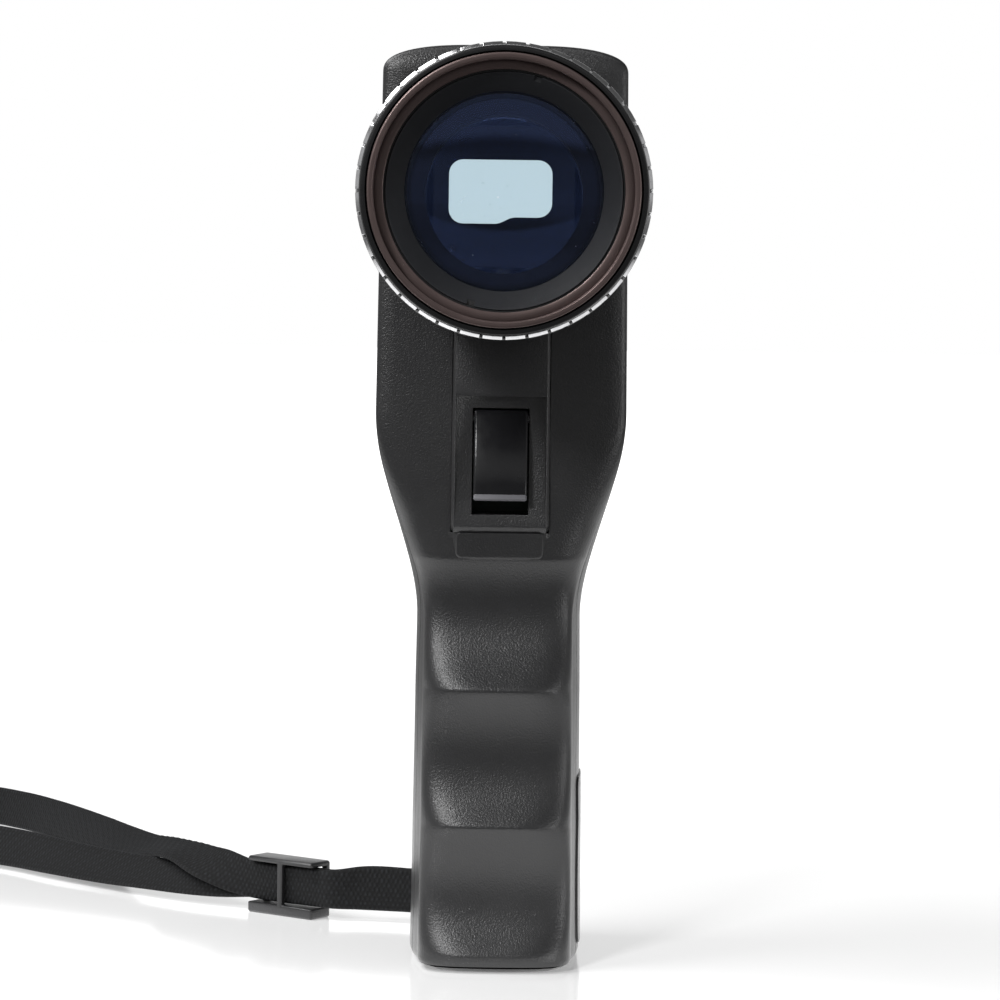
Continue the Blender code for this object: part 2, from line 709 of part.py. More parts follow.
def cavity_mesh(name):
    # The hollow inside every shell: open below, with the roof one wall under the outer one.
    roof = TOTAL_HEIGHT - WALL
    heights = [-OVERRUN, FOOT_ROUND, RIDGES[1], SHOULDER_BOTTOM]
    heights += [mix(SHOULDER_BOTTOM, SHOULDER_TOP, (step + 1) / NECK_STEPS) for step in range(NECK_STEPS)]
    heights += [roof - TOP_ARCH_RISE * (1.0 - share) for share, _ in ROOF_SHARES]
    rings = [section(max(z, FOOT_ROUND), WALL, smooth=True) for z in heights]
    rings = [[(x, y, height) for x, y, _ in ring] for ring, height in zip(rings, heights)]
    return loft_mesh(name, rings)


def far_block(name, low, high):
    # A cutting block. A None side runs past the whole body.
    reach = TOTAL_HEIGHT
    low = [-reach if value is None else value for value in low]
    high = [reach * 2 if value is None else value for value in high]
    return cutter(name, block_mesh(name, low, high))


def shell(name):
    # The exact solver leaves open edges round the screw bosses, so mouldings use the manifold one.
    thing = add(name, outer_mesh(name), BODY_BLACK, smooth=SHADE_ANGLE)
    thing["solver"] = "MANIFOLD"
    boolean(thing, CAVITY)
    return thing


def cover_screw_places():
    high = TOTAL_HEIGHT - TOP_ARCH_RISE - COVER_SCREW_DROP + TOP_EDGE_ROUND
    return [(side * COVER_SCREW_SIDE, z) for z in (COVER_SCREW_LOW_Z, high) for side in (-1, 1)]


def grip_screw_places():
    return [(0.0, GRIP_SCREW_LOW_Z), (0.0, GRIP_SCREW_HIGH_Z)]


def boss(name, x, z, start, end):
    return cutter(name, rod_mesh(name, BOSS_RADIUS, start, end, SMALL_SEGMENTS), (x, 0.0, z))


def screw_hole(name, x, z, head_y, sink_y, end_y):
    # Clearance for a screw driven from behind: a sunk hole for its head and a bore for its thread.
    wide, thin = SCREW_HEAD_RADIUS + CLEARANCE, SCREW_RADIUS + CLEARANCE
    profile = [(0.0, sink_y + OVERRUN), (wide, sink_y + OVERRUN), (wide, head_y - CLEARANCE)]
    profile += [(thin, head_y - CLEARANCE), (thin, end_y), (0.0, end_y)]
    return cutter(name, turned_mesh(name, profile, SMALL_SEGMENTS), (x, 0.0, z))


# Housing mouldings

COVER_HEAD_Y = BOX_REAR - COVER_SCREW_SINK
GRIP_HEAD_Y = GRIP_REAR - GRIP_SCREW_SINK
STRIP_TOP_Z = LENS_Z - COLLAR_RADIUS - CLEARANCE
STRIP_BACK_Y = BOX_FRONT + STRIP_BACK


def make_main_housing():
    housing = shell("main_housing")
    for index, (x, z) in enumerate(cover_screw_places(), 1):
        start = COVER_HEAD_Y - SCREW_LENGTH - BOSS_RADIUS
        boolean(housing, boss(f"cover_boss_{index}", x, z, start, COVER_Y + OVERRUN), "UNION")
        hole = screw_hole(f"cover_thread_{index}", x, z, COVER_HEAD_Y, BOX_REAR, start + BOSS_RADIUS / 2)
        boolean(housing, hole)
    for index, (x, z) in enumerate(grip_screw_places(), 1):
        start = GRIP_FRONT + GROOVE_DEPTH + WALL / 2
        boolean(housing, boss(f"grip_boss_{index}", x, z, start, SEAM_Y + OVERRUN), "UNION")
        hole = screw_hole(f"grip_thread_{index}", x, z, GRIP_HEAD_Y, GRIP_REAR, start + WALL)
        boolean(housing, hole)
    add_base_boss(housing, 1, BASE_SCREW_PLACES[0])
    for side, name in ((-1, "board_post_left"), (1, "board_post_right")):
        post = rod_mesh(name, POST_RADIUS, BOX_FRONT + WALL / 2, BOARD_Y - CLEARANCE, SMALL_SEGMENTS)
        place = (side * POST_HALF_SPAN, 0.0, BOARD_TOP_Z - POST_INSET)
        boolean(housing, cutter(name, post, place), "UNION")
    bore_radius, bore_end = BARREL_NECK_RADIUS + CLEARANCE, BOX_FRONT + WALL + OVERRUN
    bore = rod_mesh("barrel_bore", bore_radius, BOX_FRONT - OVERRUN, bore_end, FINE_SEGMENTS)
    boolean(housing, cutter("barrel_bore", bore, (0.0, 0.0, LENS_Z)))
    top, foot = STRIP_BOTTOM_Z - CLEARANCE, STRIP_BOTTOM_Z - SILL_HEIGHT
    wedge = [(BOX_FRONT - SILL_PROUD, top), (BOX_FRONT - CLEARANCE / 2, foot)]
    wedge += [(BOX_FRONT + WALL / 2, foot), (BOX_FRONT + WALL / 2, top)]
    sill = side_loft("strip_sill", wedge, STRIP_HALF_WIDTH, STRIP_EDGE)
    boolean(housing, cutter("strip_sill", sill), "UNION")
    slot = far_block(
        "strip_slot",
        (-STRIP_HALF_WIDTH - CLEARANCE, None, STRIP_BOTTOM_Z - CLEARANCE),
        (STRIP_HALF_WIDTH + CLEARANCE, STRIP_BACK_Y + OVERRUN, STRIP_TOP_Z + CLEARANCE),
    )
    boolean(housing, slot)
    boolean(housing, far_block("behind_grip_seam", (None, SEAM_Y, None), (None, None, SPLIT_Z)))
    boolean(housing, far_block("behind_cover_seam", (None, COVER_Y, None), (None, None, None)))
    return housing


def make_rear_cover():
    cover = shell("rear_cover")
    for index, (x, z) in enumerate(cover_screw_places(), 1):
        boolean(cover, boss(f"cover_column_{index}", x, z, COVER_Y - OVERRUN, BOX_REAR - WALL / 2), "UNION")
        hole = screw_hole(f"cover_hole_{index}", x, z, COVER_HEAD_Y, BOX_REAR, COVER_Y - 2 * OVERRUN)
        boolean(cover, hole)
    bore_radius, bore_start = EYE_TUBE_RADIUS + CLEARANCE, BOX_REAR - WALL - OVERRUN
    bore = rod_mesh("eyepiece_bore", bore_radius, bore_start, BOX_REAR + OVERRUN, PLAIN_SEGMENTS)
    boolean(cover, cutter("eyepiece_bore", bore, (0.0, 0.0, LENS_Z)))
    boolean(cover, far_block("ahead_of_cover", (None, None, None), (None, COVER_Y + CLEARANCE, None)))
    boolean(cover, far_block("under_cover", (None, None, None), (None, COVER_Y, SPLIT_Z)))
    return cover


def door_outline(grow):
    half_y = DOOR_LENGTH / 2 + grow
    half_z = DOOR_HEIGHT / 2 + grow
    return rounded_outline(half_y, half_z, DOOR_CORNER + grow)


def door_block(name, grow, low_x, high_x):
    # The door's rounded rectangle in the plane of the grip's side, carried through in X.
    centre_y = SEAM_Y + DOOR_FRONT_BACK + DOOR_LENGTH / 2
    centre_z = DOOR_BOTTOM_Z + DOOR_HEIGHT / 2
    rings = [[(x, centre_y + y, centre_z + z) for y, z in door_outline(grow)] for x in (low_x, high_x)]
    return cutter(name, loft_mesh(name, rings))


def make_grip_back():
    back = shell("grip_back")
    for index, (x, z) in enumerate(grip_screw_places(), 1):
        end = GRIP_REAR + PALM_SWELL - WALL / 2
        column = boss(f"grip_column_{index}", x, z, SEAM_Y - OVERRUN, end)
        boolean(back, column, "UNION")
        hole = screw_hole(
            f"grip_hole_{index}", x, z, GRIP_HEAD_Y, GRIP_REAR + PALM_SWELL, SEAM_Y - 2 * OVERRUN
        )
        boolean(back, hole)
    boolean(back, far_block("ahead_of_grip_seam", (None, None, None), (None, SEAM_Y + CLEARANCE, None)))
    boolean(back, far_block("above_grip_back", (None, None, SPLIT_Z - CLEARANCE), (None, None, None)))
    boolean(back, door_block("door_opening", CLEARANCE, FOOT_HALF_WIDTH / 2, FOOT_HALF_WIDTH * 2))
    y = BASE_SCREW_PLACES[1]
    rib = block_mesh(
        "base_boss_rib",
        (-WALL / 2, y, PLATE_PLUG + CLEARANCE),
        (WALL / 2, GRIP_REAR - WALL / 2, BASE_SCREW_LENGTH + PLATE_PLUG),
    )
    boolean(back, cutter("base_boss_rib", rib), "UNION")
    add_base_boss(back, 2, y)
    for side, name in ((-1, "lug_thread_left"), (1, "lug_thread_right")):
        place = (side * LUG_SCREW_SIDE, 0.0, STRAP_MIDDLE_Z)
        start, end = GRIP_REAR - LUG_SCREW_LENGTH, GRIP_REAR - WALL / 2
        column = rod_mesh(f"{name}_boss", BASE_BOSS_RADIUS, start, end, SMALL_SEGMENTS)
        boolean(back, cutter(f"{name}_boss", column, place), "UNION")
        start, end = start + WALL / 2, GRIP_REAR + OVERRUN
        hole = rod_mesh(name, SCREW_RADIUS + CLEARANCE, start, end, SMALL_SEGMENTS)
        boolean(back, cutter(name, hole, place))
    return back


def make_base_plate():
    rows = [section(share * PLATE_RIM) for share in RIM_SHARES]
    plate = add("base_plate", loft_mesh("base_plate", rows), BODY_BLACK)
    plug_rows = []
    for z in (PLATE_RIM / 2, PLATE_PLUG):
        ring = section(FOOT_ROUND, WALL + CLEARANCE, smooth=True)
        plug_rows.append([(x, y, z) for x, y, _ in ring])
    plug = cutter("base_plug", loft_mesh("base_plug", plug_rows))
    boolean(plate, plug, "UNION")
    for index, y in enumerate(BASE_SCREW_PLACES, 1):
        wide, thin = SCREW_HEAD_RADIUS + CLEARANCE, SCREW_RADIUS + CLEARANCE
        top = BASE_SCREW_SINK + SCREW_HEAD + CLEARANCE
        profile = [(0.0, -OVERRUN), (wide, -OVERRUN), (wide, top), (thin, top)]
        profile += [(thin, PLATE_PLUG + OVERRUN), (0.0, PLATE_PLUG + OVERRUN)]
        hole = along(turned_mesh(f"base_hole_{index}", profile, SMALL_SEGMENTS), "Z")
        boolean(plate, cutter(f"base_hole_{index}", hole, (0.0, y, 0.0)))
    return plate


def add_base_boss(shell_piece, index, y):
    # An upright column above the base plate that a base screw threads into.
    low, high = PLATE_PLUG + CLEARANCE, BASE_SCREW_LENGTH + PLATE_PLUG + BOSS_RADIUS / 2
    column = along(rod_mesh(f"base_boss_{index}", BASE_BOSS_RADIUS, low, high, SMALL_SEGMENTS), "Z")
    boolean(shell_piece, cutter(f"base_boss_{index}", column, (0.0, y, 0.0)), "UNION")
    low, high = low - OVERRUN, high - WALL / 2
    bore = along(rod_mesh(f"base_thread_{index}", SCREW_RADIUS + CLEARANCE, low, high, SMALL_SEGMENTS), "Z")
    boolean(shell_piece, cutter(f"base_thread_{index}", bore, (0.0, y, 0.0)))


def make_battery_door():
    door = add("battery_door", outer_mesh("battery_door", -DOOR_PROUD), BODY_BLACK, smooth=SHADE_ANGLE)
    inner = cutter("door_inside", outer_mesh("door_inside", DOOR_THICKNESS))
    boolean(door, inner)
    boolean(door, door_block("door_edge", 0.0, FOOT_HALF_WIDTH / 2, FOOT_HALF_WIDTH * 2), "INTERSECT")
    return door


# Named places that several pieces share

LUG_HALF_HEIGHT = STRAP_WIDTH / 2 + LUG_THICKNESS + CLEARANCE
BASE_SCREW_PLACES = (GRIP_FRONT + BASE_SCREW_INSET, GRIP_REAR - BASE_SCREW_INSET - WALL)
BARREL_START = FRONT_Y + BARREL_NOSE_BACK
COLLAR_FRONT = BOX_FRONT - CLEARANCE - COLLAR_LENGTH
LENS_SEAT_Y = BARREL_START + CELL_DEPTH
LENS_LEDGE_Y = LENS_SEAT_Y + LENS_EDGE
BORE_RADIUS = LENS_RADIUS + CLEARANCE
BARREL_SHOULDER_Y = COLLAR_FRONT - CLEARANCE
BORE_END_Y = BARREL_SHOULDER_Y - BARREL_END_WALL


# Barrel and lens

def make_barrel_tube():
    neck_end = BOX_FRONT + WALL + NUT_THICKNESS + CLEARANCE
    profile = [
        (CELL_RADIUS, BARREL_START),
        (BARREL_RADIUS, BARREL_START),
        (BARREL_RADIUS, BARREL_SHOULDER_Y),
        (BARREL_NECK_RADIUS, BARREL_SHOULDER_Y),
        (BARREL_NECK_RADIUS, neck_end),
        (STOP_BORE_RADIUS, neck_end),
        (STOP_BORE_RADIUS, BORE_END_Y),
        (BORE_RADIUS, BORE_END_Y),
        (BORE_RADIUS, LENS_SEAT_Y),
        (CELL_RADIUS, LENS_SEAT_Y),
    ]
    return add_turned("barrel_tube", profile, PLAIN_SEGMENTS, RING_BLACK)


def make_barrel_nut():
    front = BOX_FRONT + WALL + CLEARANCE
    inner, outer = BARREL_NECK_RADIUS + CLEARANCE, BARREL_NECK_RADIUS + CLEARANCE + NUT_LAND
    back = front + NUT_THICKNESS
    profile = [(inner, front), (outer, front), (outer, back), (inner, back)]
    return add_turned("barrel_nut", profile, PLAIN_SEGMENTS, RING_BLACK)


def make_index_collar():
    inner = BARREL_NECK_RADIUS + CLEARANCE
    back = BOX_FRONT - CLEARANCE
    edge = KNURL_CHAMFER
    profile = [
        (inner, COLLAR_FRONT),
        (COLLAR_RADIUS - edge, COLLAR_FRONT),
        (COLLAR_RADIUS, COLLAR_FRONT + edge),
        (COLLAR_RADIUS, back),
        (inner, back),
    ]
    return add_turned("index_collar", profile, FINE_SEGMENTS, RING_BLACK)


def make_filter_ring():
    wall = FRONT_Y + FILTER_THREAD_DEPTH
    lip_back = BARREL_START - CLEARANCE
    skirt_back = BARREL_START + FILTER_SKIRT
    profile = [
        (FILTER_THREAD_RADIUS + FILTER_CHAMFER, FRONT_Y),
        (FILTER_RING_RADIUS - FILTER_CHAMFER, FRONT_Y),
        (FILTER_RING_RADIUS, FRONT_Y + FILTER_CHAMFER),
        (FILTER_RING_RADIUS, skirt_back),
        (BARREL_RADIUS + CLEARANCE, skirt_back),
        (BARREL_RADIUS + CLEARANCE, lip_back),
        (FILTER_LIP_RADIUS, lip_back),
        (FILTER_LIP_RADIUS, lip_back - FILTER_LIP),
        (FILTER_THREAD_RADIUS - FILTER_CHAMFER, wall),
        (FILTER_THREAD_RADIUS, FRONT_Y + FILTER_CHAMFER),
    ]
    return add_turned("filter_ring", profile, FINE_SEGMENTS, RING_BROWN)


def make_retaining_ring():
    front = BARREL_START - FILTER_LIP / 2
    back = LENS_SEAT_Y - CLEARANCE - LENS_BULGE / 2
    outer = CELL_RADIUS - SLIP
    profile = [
        (FUNNEL_MOUTH, front),
        (outer, front),
        (outer, back),
        (FUNNEL_THROAT, back),
        (FUNNEL_THROAT - SLIP, back - FUNNEL_LIP),
    ]
    ring = add_turned("lens_retaining_ring", profile, FINE_SEGMENTS, MATT_BLACK)
    for name, turn in (("upper", NOTCH_ANGLE), ("lower", NOTCH_ANGLE + math.pi)):
        notch = block_mesh(
            f"notch_{name}",
            (FUNNEL_MOUTH - NOTCH_DEPTH, front - OVERRUN, -NOTCH_WIDTH / 2),
            (CELL_RADIUS + OVERRUN, front + NOTCH_DEPTH, NOTCH_WIDTH / 2),
        )
        notch.transform(Matrix.Rotation(-turn, 4, "Y"))
        boolean(ring, cutter(f"notch_{name}", notch, (0, 0, LENS_Z)))
    return ring


def lens(name, radius, front, edge, bulge_front, bulge_back, material, segments, steps=3):
    # Two spherical faces and a ground edge, about the lens axis.
    profile = lens_arc(radius, bulge_front, front, steps, -1.0)[::-1]
    profile += lens_arc(radius, bulge_back, front + edge, steps, 1.0)
    return add_turned(name, profile, segments, material)


def make_lenses():
    rim = LENS_SEAT_Y + CLEARANCE
    edge = LENS_EDGE - 2 * CLEARANCE
    lens("front_lens", LENS_RADIUS, rim, edge, LENS_BULGE, LENS_BULGE / 3, COATED_GLASS, FINE_SEGMENTS)
    rear_rim = BOX_FRONT + WALL - REAR_LENS_THICKNESS
    edge, bulge = REAR_LENS_THICKNESS, REAR_LENS_BULGE
    lens("rear_lens", STOP_BORE_RADIUS - SLIP, rear_rim, edge, bulge, bulge, CLEAR_GLASS, PLAIN_SEGMENTS)


def make_aperture_stop():
    # A thin tube on the barrel's end wall that carries the front lens, with the stop's plate in it.
    back = BOX_FRONT - STOP_BACK - CLEARANCE
    front = back - STOP_THICKNESS
    outer = BORE_RADIUS - SLIP
    inner = outer - BAFFLE_WALL
    profile = [
        (inner, LENS_LEDGE_Y),
        (outer, LENS_LEDGE_Y),
        (outer, BORE_END_Y - SLIP),
        (inner, BORE_END_Y - SLIP),
        (inner, back),
        (STOP_APERTURE, back),
        (STOP_APERTURE, front),
        (inner, front),
    ]
    return add_turned("aperture_stop", profile, PLAIN_SEGMENTS, INNER_BLACK)


EXPOSURE_FRONT = FRONT_Y + EXPOSURE_SETBACK
EXPOSURE_BACK = EXPOSURE_FRONT + EXPOSURE_NOSE + EXPOSURE_KNURL
SPEED_FRONT = EXPOSURE_BACK + CLEARANCE
SPEED_KNURL_BACK = SPEED_FRONT + SPEED_KNURL
SPEED_BACK = SPEED_KNURL_BACK + SPEED_SKIRT


def make_exposure_ring():
    # A gloss rim in front, then the knurled band. Its bore steps in behind the filter ring.
    bore = FILTER_RING_RADIUS + CLEARANCE
    hub = BARREL_RADIUS + CLEARANCE
    step = BARREL_START + FILTER_SKIRT + CLEARANCE
    knurl_front = EXPOSURE_FRONT + EXPOSURE_NOSE
    rows = [
        plain_row(bore, EXPOSURE_FRONT, KNURL_COUNT, 0.0),
        plain_row(EXPOSURE_RIM_RADIUS - KNURL_CHAMFER, EXPOSURE_FRONT, KNURL_COUNT, 0.0),
        plain_row(EXPOSURE_RIM_RADIUS, EXPOSURE_FRONT + KNURL_CHAMFER, KNURL_COUNT, 0.0),
        plain_row(EXPOSURE_RIM_RADIUS, knurl_front - SLIP, KNURL_COUNT, 0.0),
    ]
    rows += knurled_rows(EXPOSURE_RADIUS, KNURL_DEPTH, knurl_front, EXPOSURE_BACK, KNURL_COUNT, 0.0)
    rows += [
        plain_row(hub, EXPOSURE_BACK, KNURL_COUNT, 0.0),
        plain_row(hub, step, KNURL_COUNT, 0.0),
        plain_row(bore, step, KNURL_COUNT, 0.0),
    ]
    return add_round("exposure_ring", ring_mesh("exposure_ring", rows), RING_BLACK)


def make_speed_ring():
    # The second knurled band, with a lower skirt behind it that carries the numbers.
    hub = BARREL_RADIUS + CLEARANCE
    rows = [plain_row(hub, SPEED_FRONT, KNURL_COUNT, SPEED_TURN)]
    rows += knurled_rows(SPEED_RADIUS, KNURL_DEPTH, SPEED_FRONT, SPEED_KNURL_BACK, KNURL_COUNT, SPEED_TURN)
    rows += [
        plain_row(SPEED_SKIRT_RADIUS, SPEED_KNURL_BACK + KNURL_CHAMFER, KNURL_COUNT, SPEED_TURN),
        plain_row(SPEED_SKIRT_RADIUS, SPEED_BACK, KNURL_COUNT, SPEED_TURN),
        plain_row(hub, SPEED_BACK, KNURL_COUNT, SPEED_TURN),
    ]
    return add_round("speed_ring", ring_mesh("speed_ring", rows), RING_BLACK)


def make_scale_sleeve():
    front, back = SPEED_BACK + CLEARANCE, COLLAR_FRONT - CLEARANCE
    inner = BARREL_RADIUS + CLEARANCE
    profile = [(inner, front), (SLEEVE_RADIUS, front), (SLEEVE_RADIUS, back), (inner, back)]
    return add_turned("scale_sleeve", profile, FINE_SEGMENTS, RING_BLACK)


# Trigger housing and trigger

SLOT_BOTTOM_Z = STRIP_BOTTOM_Z + SLOT_RISE
SLOT_TOP_Z = SLOT_BOTTOM_Z + SLOT_HEIGHT
RECESS_BOTTOM_Z = STRIP_BOTTOM_Z + RECESS_BOTTOM_RISE
RECESS_TOP_Z = RECESS_BOTTOM_Z + RECESS_HEIGHT
TRIGGER_TOP_Z = SLOT_TOP_Z - TRIGGER_TOP_GAP
PIVOT_Z = TRIGGER_TOP_Z - PIVOT_DROP
PIVOT_Y = BOX_FRONT + PIVOT_BACK
SWITCH_Z = PIVOT_Z - SWITCH_ARM
SPRING_Z = PIVOT_Z - SPRING_ARM
SWITCH_FRONT_Y = BOARD_Y - CLEARANCE - SWITCH_DEPTH
PLUNGER_TIP_Y = SWITCH_FRONT_Y - PLUNGER_REACH


def strip_face(z):
    share = (z - STRIP_BOTTOM_Z) / (STRIP_TOP_Z - STRIP_BOTTOM_Z)
    return BOX_FRONT - mix(STRIP_PROUD_BOTTOM, STRIP_PROUD_TOP, ease(share * STRIP_SINK_SHARE))


def side_loft(name, outline, half, bevel):
    # A (y, z) outline carried across in X, its long edges bevelled by narrower end sections.
    ys = [y for y, _ in outline]
    zs = [z for _, z in outline]
    centre = ((min(ys) + max(ys)) / 2, (min(zs) + max(zs)) / 2)
    shrink = 1.0 - 2 * bevel / (max(zs) - min(zs))
    narrow = 1.0 - 2 * bevel / (max(ys) - min(ys))
    inner = [(mix(centre[0], y, narrow), mix(centre[1], z, shrink)) for y, z in outline]
    rings = []
    for x, shape in ((-half, inner), (-half + bevel, outline), (half - bevel, outline), (half, inner)):
        rings.append([(x, y, z) for y, z in shape])
    return loft_mesh(name, rings)


def make_trigger_housing():
    low, high = STRIP_BOTTOM_Z + STRIP_LIP, STRIP_TOP_Z
    heights = [mix(low, high, step / STRIP_STEPS) for step in range(STRIP_STEPS + 1)]
    front = [(strip_face(z), z) for z in heights]
    lip = (strip_face(STRIP_BOTTOM_Z) + STRIP_LIP, STRIP_BOTTOM_Z)
    outline = [lip] + front + [(STRIP_BACK_Y, STRIP_TOP_Z), (STRIP_BACK_Y, STRIP_BOTTOM_Z)]
    mesh = side_loft("trigger_housing", outline, STRIP_HALF_WIDTH, STRIP_EDGE)
    strip = add("trigger_housing", mesh, BODY_BLACK)
    # The recess is a wedge: a step at its top that runs out flush at its bottom.
    wedge = [
        (strip_face(RECESS_BOTTOM_Z) - OVERRUN, RECESS_BOTTOM_Z - STRIP_LIP / 2),
        (strip_face(RECESS_BOTTOM_Z), RECESS_BOTTOM_Z),
        (strip_face(RECESS_TOP_Z) + RECESS_STEP, RECESS_TOP_Z),
        (strip_face(RECESS_TOP_Z) - OVERRUN, RECESS_TOP_Z),
    ]
    rings = [[(x, y, z) for y, z in wedge] for x in (-RECESS_HALF_WIDTH, RECESS_HALF_WIDTH)]
    boolean(strip, cutter("trigger_recess", loft_mesh("trigger_recess", rings)))
    slot = far_block(
        "trigger_slot",
        (-SLOT_HALF_WIDTH, None, SLOT_BOTTOM_Z),
        (SLOT_HALF_WIDTH, None, SLOT_TOP_Z),
    )
    boolean(strip, slot)
    hollow = far_block(
        "strip_hollow",
        (-RECESS_HALF_WIDTH, BOX_FRONT + WALL, SLOT_TOP_Z + WALL),
        (RECESS_HALF_WIDTH, None, STRIP_TOP_Z - WALL),
    )
    boolean(strip, hollow)
    reach = STRIP_HALF_WIDTH + OVERRUN
    end = STRIP_HALF_WIDTH - PIN_SHOULDER + SLIP
    hole = along(rod_mesh("pin_hole", PIN_RADIUS + SLIP, -reach, end, SMALL_SEGMENTS), "X")
    boolean(strip, cutter("pin_hole", hole, (0.0, PIVOT_Y, PIVOT_Z)))
    return strip


def make_trigger():
    top = TRIGGER_TOP_Z
    bottom = top - TRIGGER_LENGTH
    toe = bottom + TRIGGER_TOE
    face_top = strip_face(top) + RECESS_STEP / 2 - TRIGGER_FACE_TOP
    face_bottom = strip_face(bottom) - TRIGGER_FACE_BOTTOM
    back = PIVOT_Y + PIN_RADIUS + SLIP + TRIGGER_BEVEL
    outline = [
        (face_top, top),
        *[(mix(face_top, face_bottom, out), mix(top, toe, down)) for out, down in TRIGGER_BEND_SHARES],
        (face_bottom, toe),
        (face_bottom + TRIGGER_TOE_BACK, bottom),
        (back - TRIGGER_TAIL / 2, bottom),
        (back, bottom + TRIGGER_TAIL),
        (back, top),
    ]
    outline = [(y - PIVOT_Y, z - PIVOT_Z) for y, z in outline]
    half = SLOT_HALF_WIDTH - TRIGGER_SIDE_GAP
    mesh = side_loft("trigger", outline, half, TRIGGER_BEVEL)
    trigger = add("trigger", mesh, GLOSS_BLACK, (0.0, PIVOT_Y, PIVOT_Z))
    nose = block_mesh(
        "trigger_nose",
        (-PLUNGER_RADIUS, back - TRIGGER_BEVEL, SWITCH_Z - PLUNGER_RADIUS),
        (PLUNGER_RADIUS, PLUNGER_TIP_Y - CLEARANCE, SWITCH_Z + PLUNGER_RADIUS),
    )
    boolean(trigger, cutter("trigger_nose", nose), "UNION")
    reach = half + OVERRUN
    hole = along(rod_mesh("trigger_bore", PIN_RADIUS + SLIP, -reach, reach, SMALL_SEGMENTS), "X")
    boolean(trigger, cutter("trigger_bore", hole, (0.0, PIVOT_Y, PIVOT_Z)))
    room = SPRING_COIL_RADIUS + SPRING_WIRE_RADIUS + CLEARANCE
    pocket = rod_mesh("spring_pocket", room, back - TRIGGER_TAIL / 2, back + OVERRUN, SMALL_SEGMENTS)
    boolean(trigger, cutter("spring_pocket", pocket, (0.0, 0.0, SPRING_Z)))
    return trigger


def make_trigger_pin():
    end = STRIP_HALF_WIDTH - PIN_SHOULDER
    pin = along(rod_mesh("trigger_pin", PIN_RADIUS, -end, end, SMALL_SEGMENTS), "X")
    return add("trigger_pin", pin, SPRING_STEEL, (0.0, PIVOT_Y, PIVOT_Z), smooth=SHADE_ANGLE)


def coil_object(name, radii, start, rise, turns, wire, direction, place, material):
    # One unbroken wire whose radius and height change evenly along its turns.
    count = turns * COIL_SEGMENTS
    curve = bpy.data.curves.new(name, "CURVE")
    curve.dimensions = "3D"
    curve.bevel_depth = wire
    curve.bevel_resolution = 1
    curve.use_fill_caps = True
    spline = curve.splines.new("POLY")
    spline.points.add(count)
    gap = rise / turns - 2 * wire
    for index in range(count + 1):
        share = index / count
        angle = 2 * math.pi * turns * share
        radius = mix(radii[0], radii[1], share)
        point = (radius * math.cos(angle), radius * math.sin(angle), start + rise * share)
        if direction == "Y":
            point = (point[0], point[2], point[1])
        spline.points[index].co = (*point, 1.0)
    print(f"{name}: least gap between turns {gap * 1000:.2f} mm")
    coil = bpy.data.objects.new(name, curve)
    coil.location = place
    curve.materials.append(material)
    bpy.context.scene.collection.objects.link(coil)
    return coil


def make_trigger_spring():
    back = PIVOT_Y + PIN_RADIUS + SLIP + TRIGGER_BEVEL
    start = back - TRIGGER_TAIL / 2 + SPRING_WIRE_RADIUS + CLEARANCE
    end = BOARD_Y - SPRING_WIRE_RADIUS - CLEARANCE
    radii = (SPRING_COIL_RADIUS, SPRING_COIL_RADIUS)
    return coil_object(
        "trigger_spring", radii, start, end - start, SPRING_TURNS, SPRING_WIRE_RADIUS, "Y",
        (0.0, 0.0, SPRING_Z), SPRING_STEEL,
    )


def make_microswitch():
    back, front = BOARD_Y - CLEARANCE, SWITCH_FRONT_Y
    body = add(
        "microswitch",
        block_mesh(
            "microswitch",
            (-SWITCH_HALF_WIDTH, front, SWITCH_Z - SPRING_COIL_RADIUS),
            (SWITCH_HALF_WIDTH, back, SWITCH_Z - SPRING_COIL_RADIUS + SWITCH_HEIGHT),
            STRIP_EDGE / 2,
        ),
        INNER_BLACK,
    )
    floor = front + PLUNGER_SINK
    well = rod_mesh("plunger_well", PLUNGER_RADIUS + SLIP, front - OVERRUN, floor, SMALL_SEGMENTS)
    boolean(body, cutter("plunger_well", well, (0.0, 0.0, SWITCH_Z)))
    end = front + PLUNGER_SINK / 3
    plunger = rod_mesh("microswitch_plunger", PLUNGER_RADIUS, PLUNGER_TIP_Y, end, SMALL_SEGMENTS)
    add("microswitch_plunger", plunger, NICKEL, (0.0, 0.0, SWITCH_Z), smooth=SHADE_ANGLE)
    return body


def make_circuit_board():
    board = add(
        "circuit_board",
        block_mesh(
            "circuit_board",
            (-BOARD_HALF_WIDTH, BOARD_Y, BOARD_BOTTOM_Z),
            (BOARD_HALF_WIDTH, BOARD_Y + BOARD_THICKNESS, BOARD_TOP_Z),
        ),
        BOARD_GREEN,
    )
    chip = block_mesh(
        "control_chip",
        (-CHIP_SIZE / 2, BOARD_Y + BOARD_THICKNESS + CLEARANCE, CHIP_Z - CHIP_SIZE / 2),
        (CHIP_SIZE / 2, BOARD_Y + BOARD_THICKNESS + CLEARANCE + CHIP_THICKNESS, CHIP_Z + CHIP_SIZE / 2),
        CHIP_THICKNESS / 6,
    )
    add("control_chip", chip, INNER_BLACK)
    return board


# Finder

CHASSIS_FRONT_Y = BOX_FRONT + WALL + CHASSIS_FRONT
CHASSIS_BACK_Y = COVER_Y - CHASSIS_BACK_GAP
CHASSIS_INNER = CHASSIS_HALF_WIDTH - CHASSIS_WALL
SPLITTER_Y = CHASSIS_FRONT_Y + SPLITTER_BACK


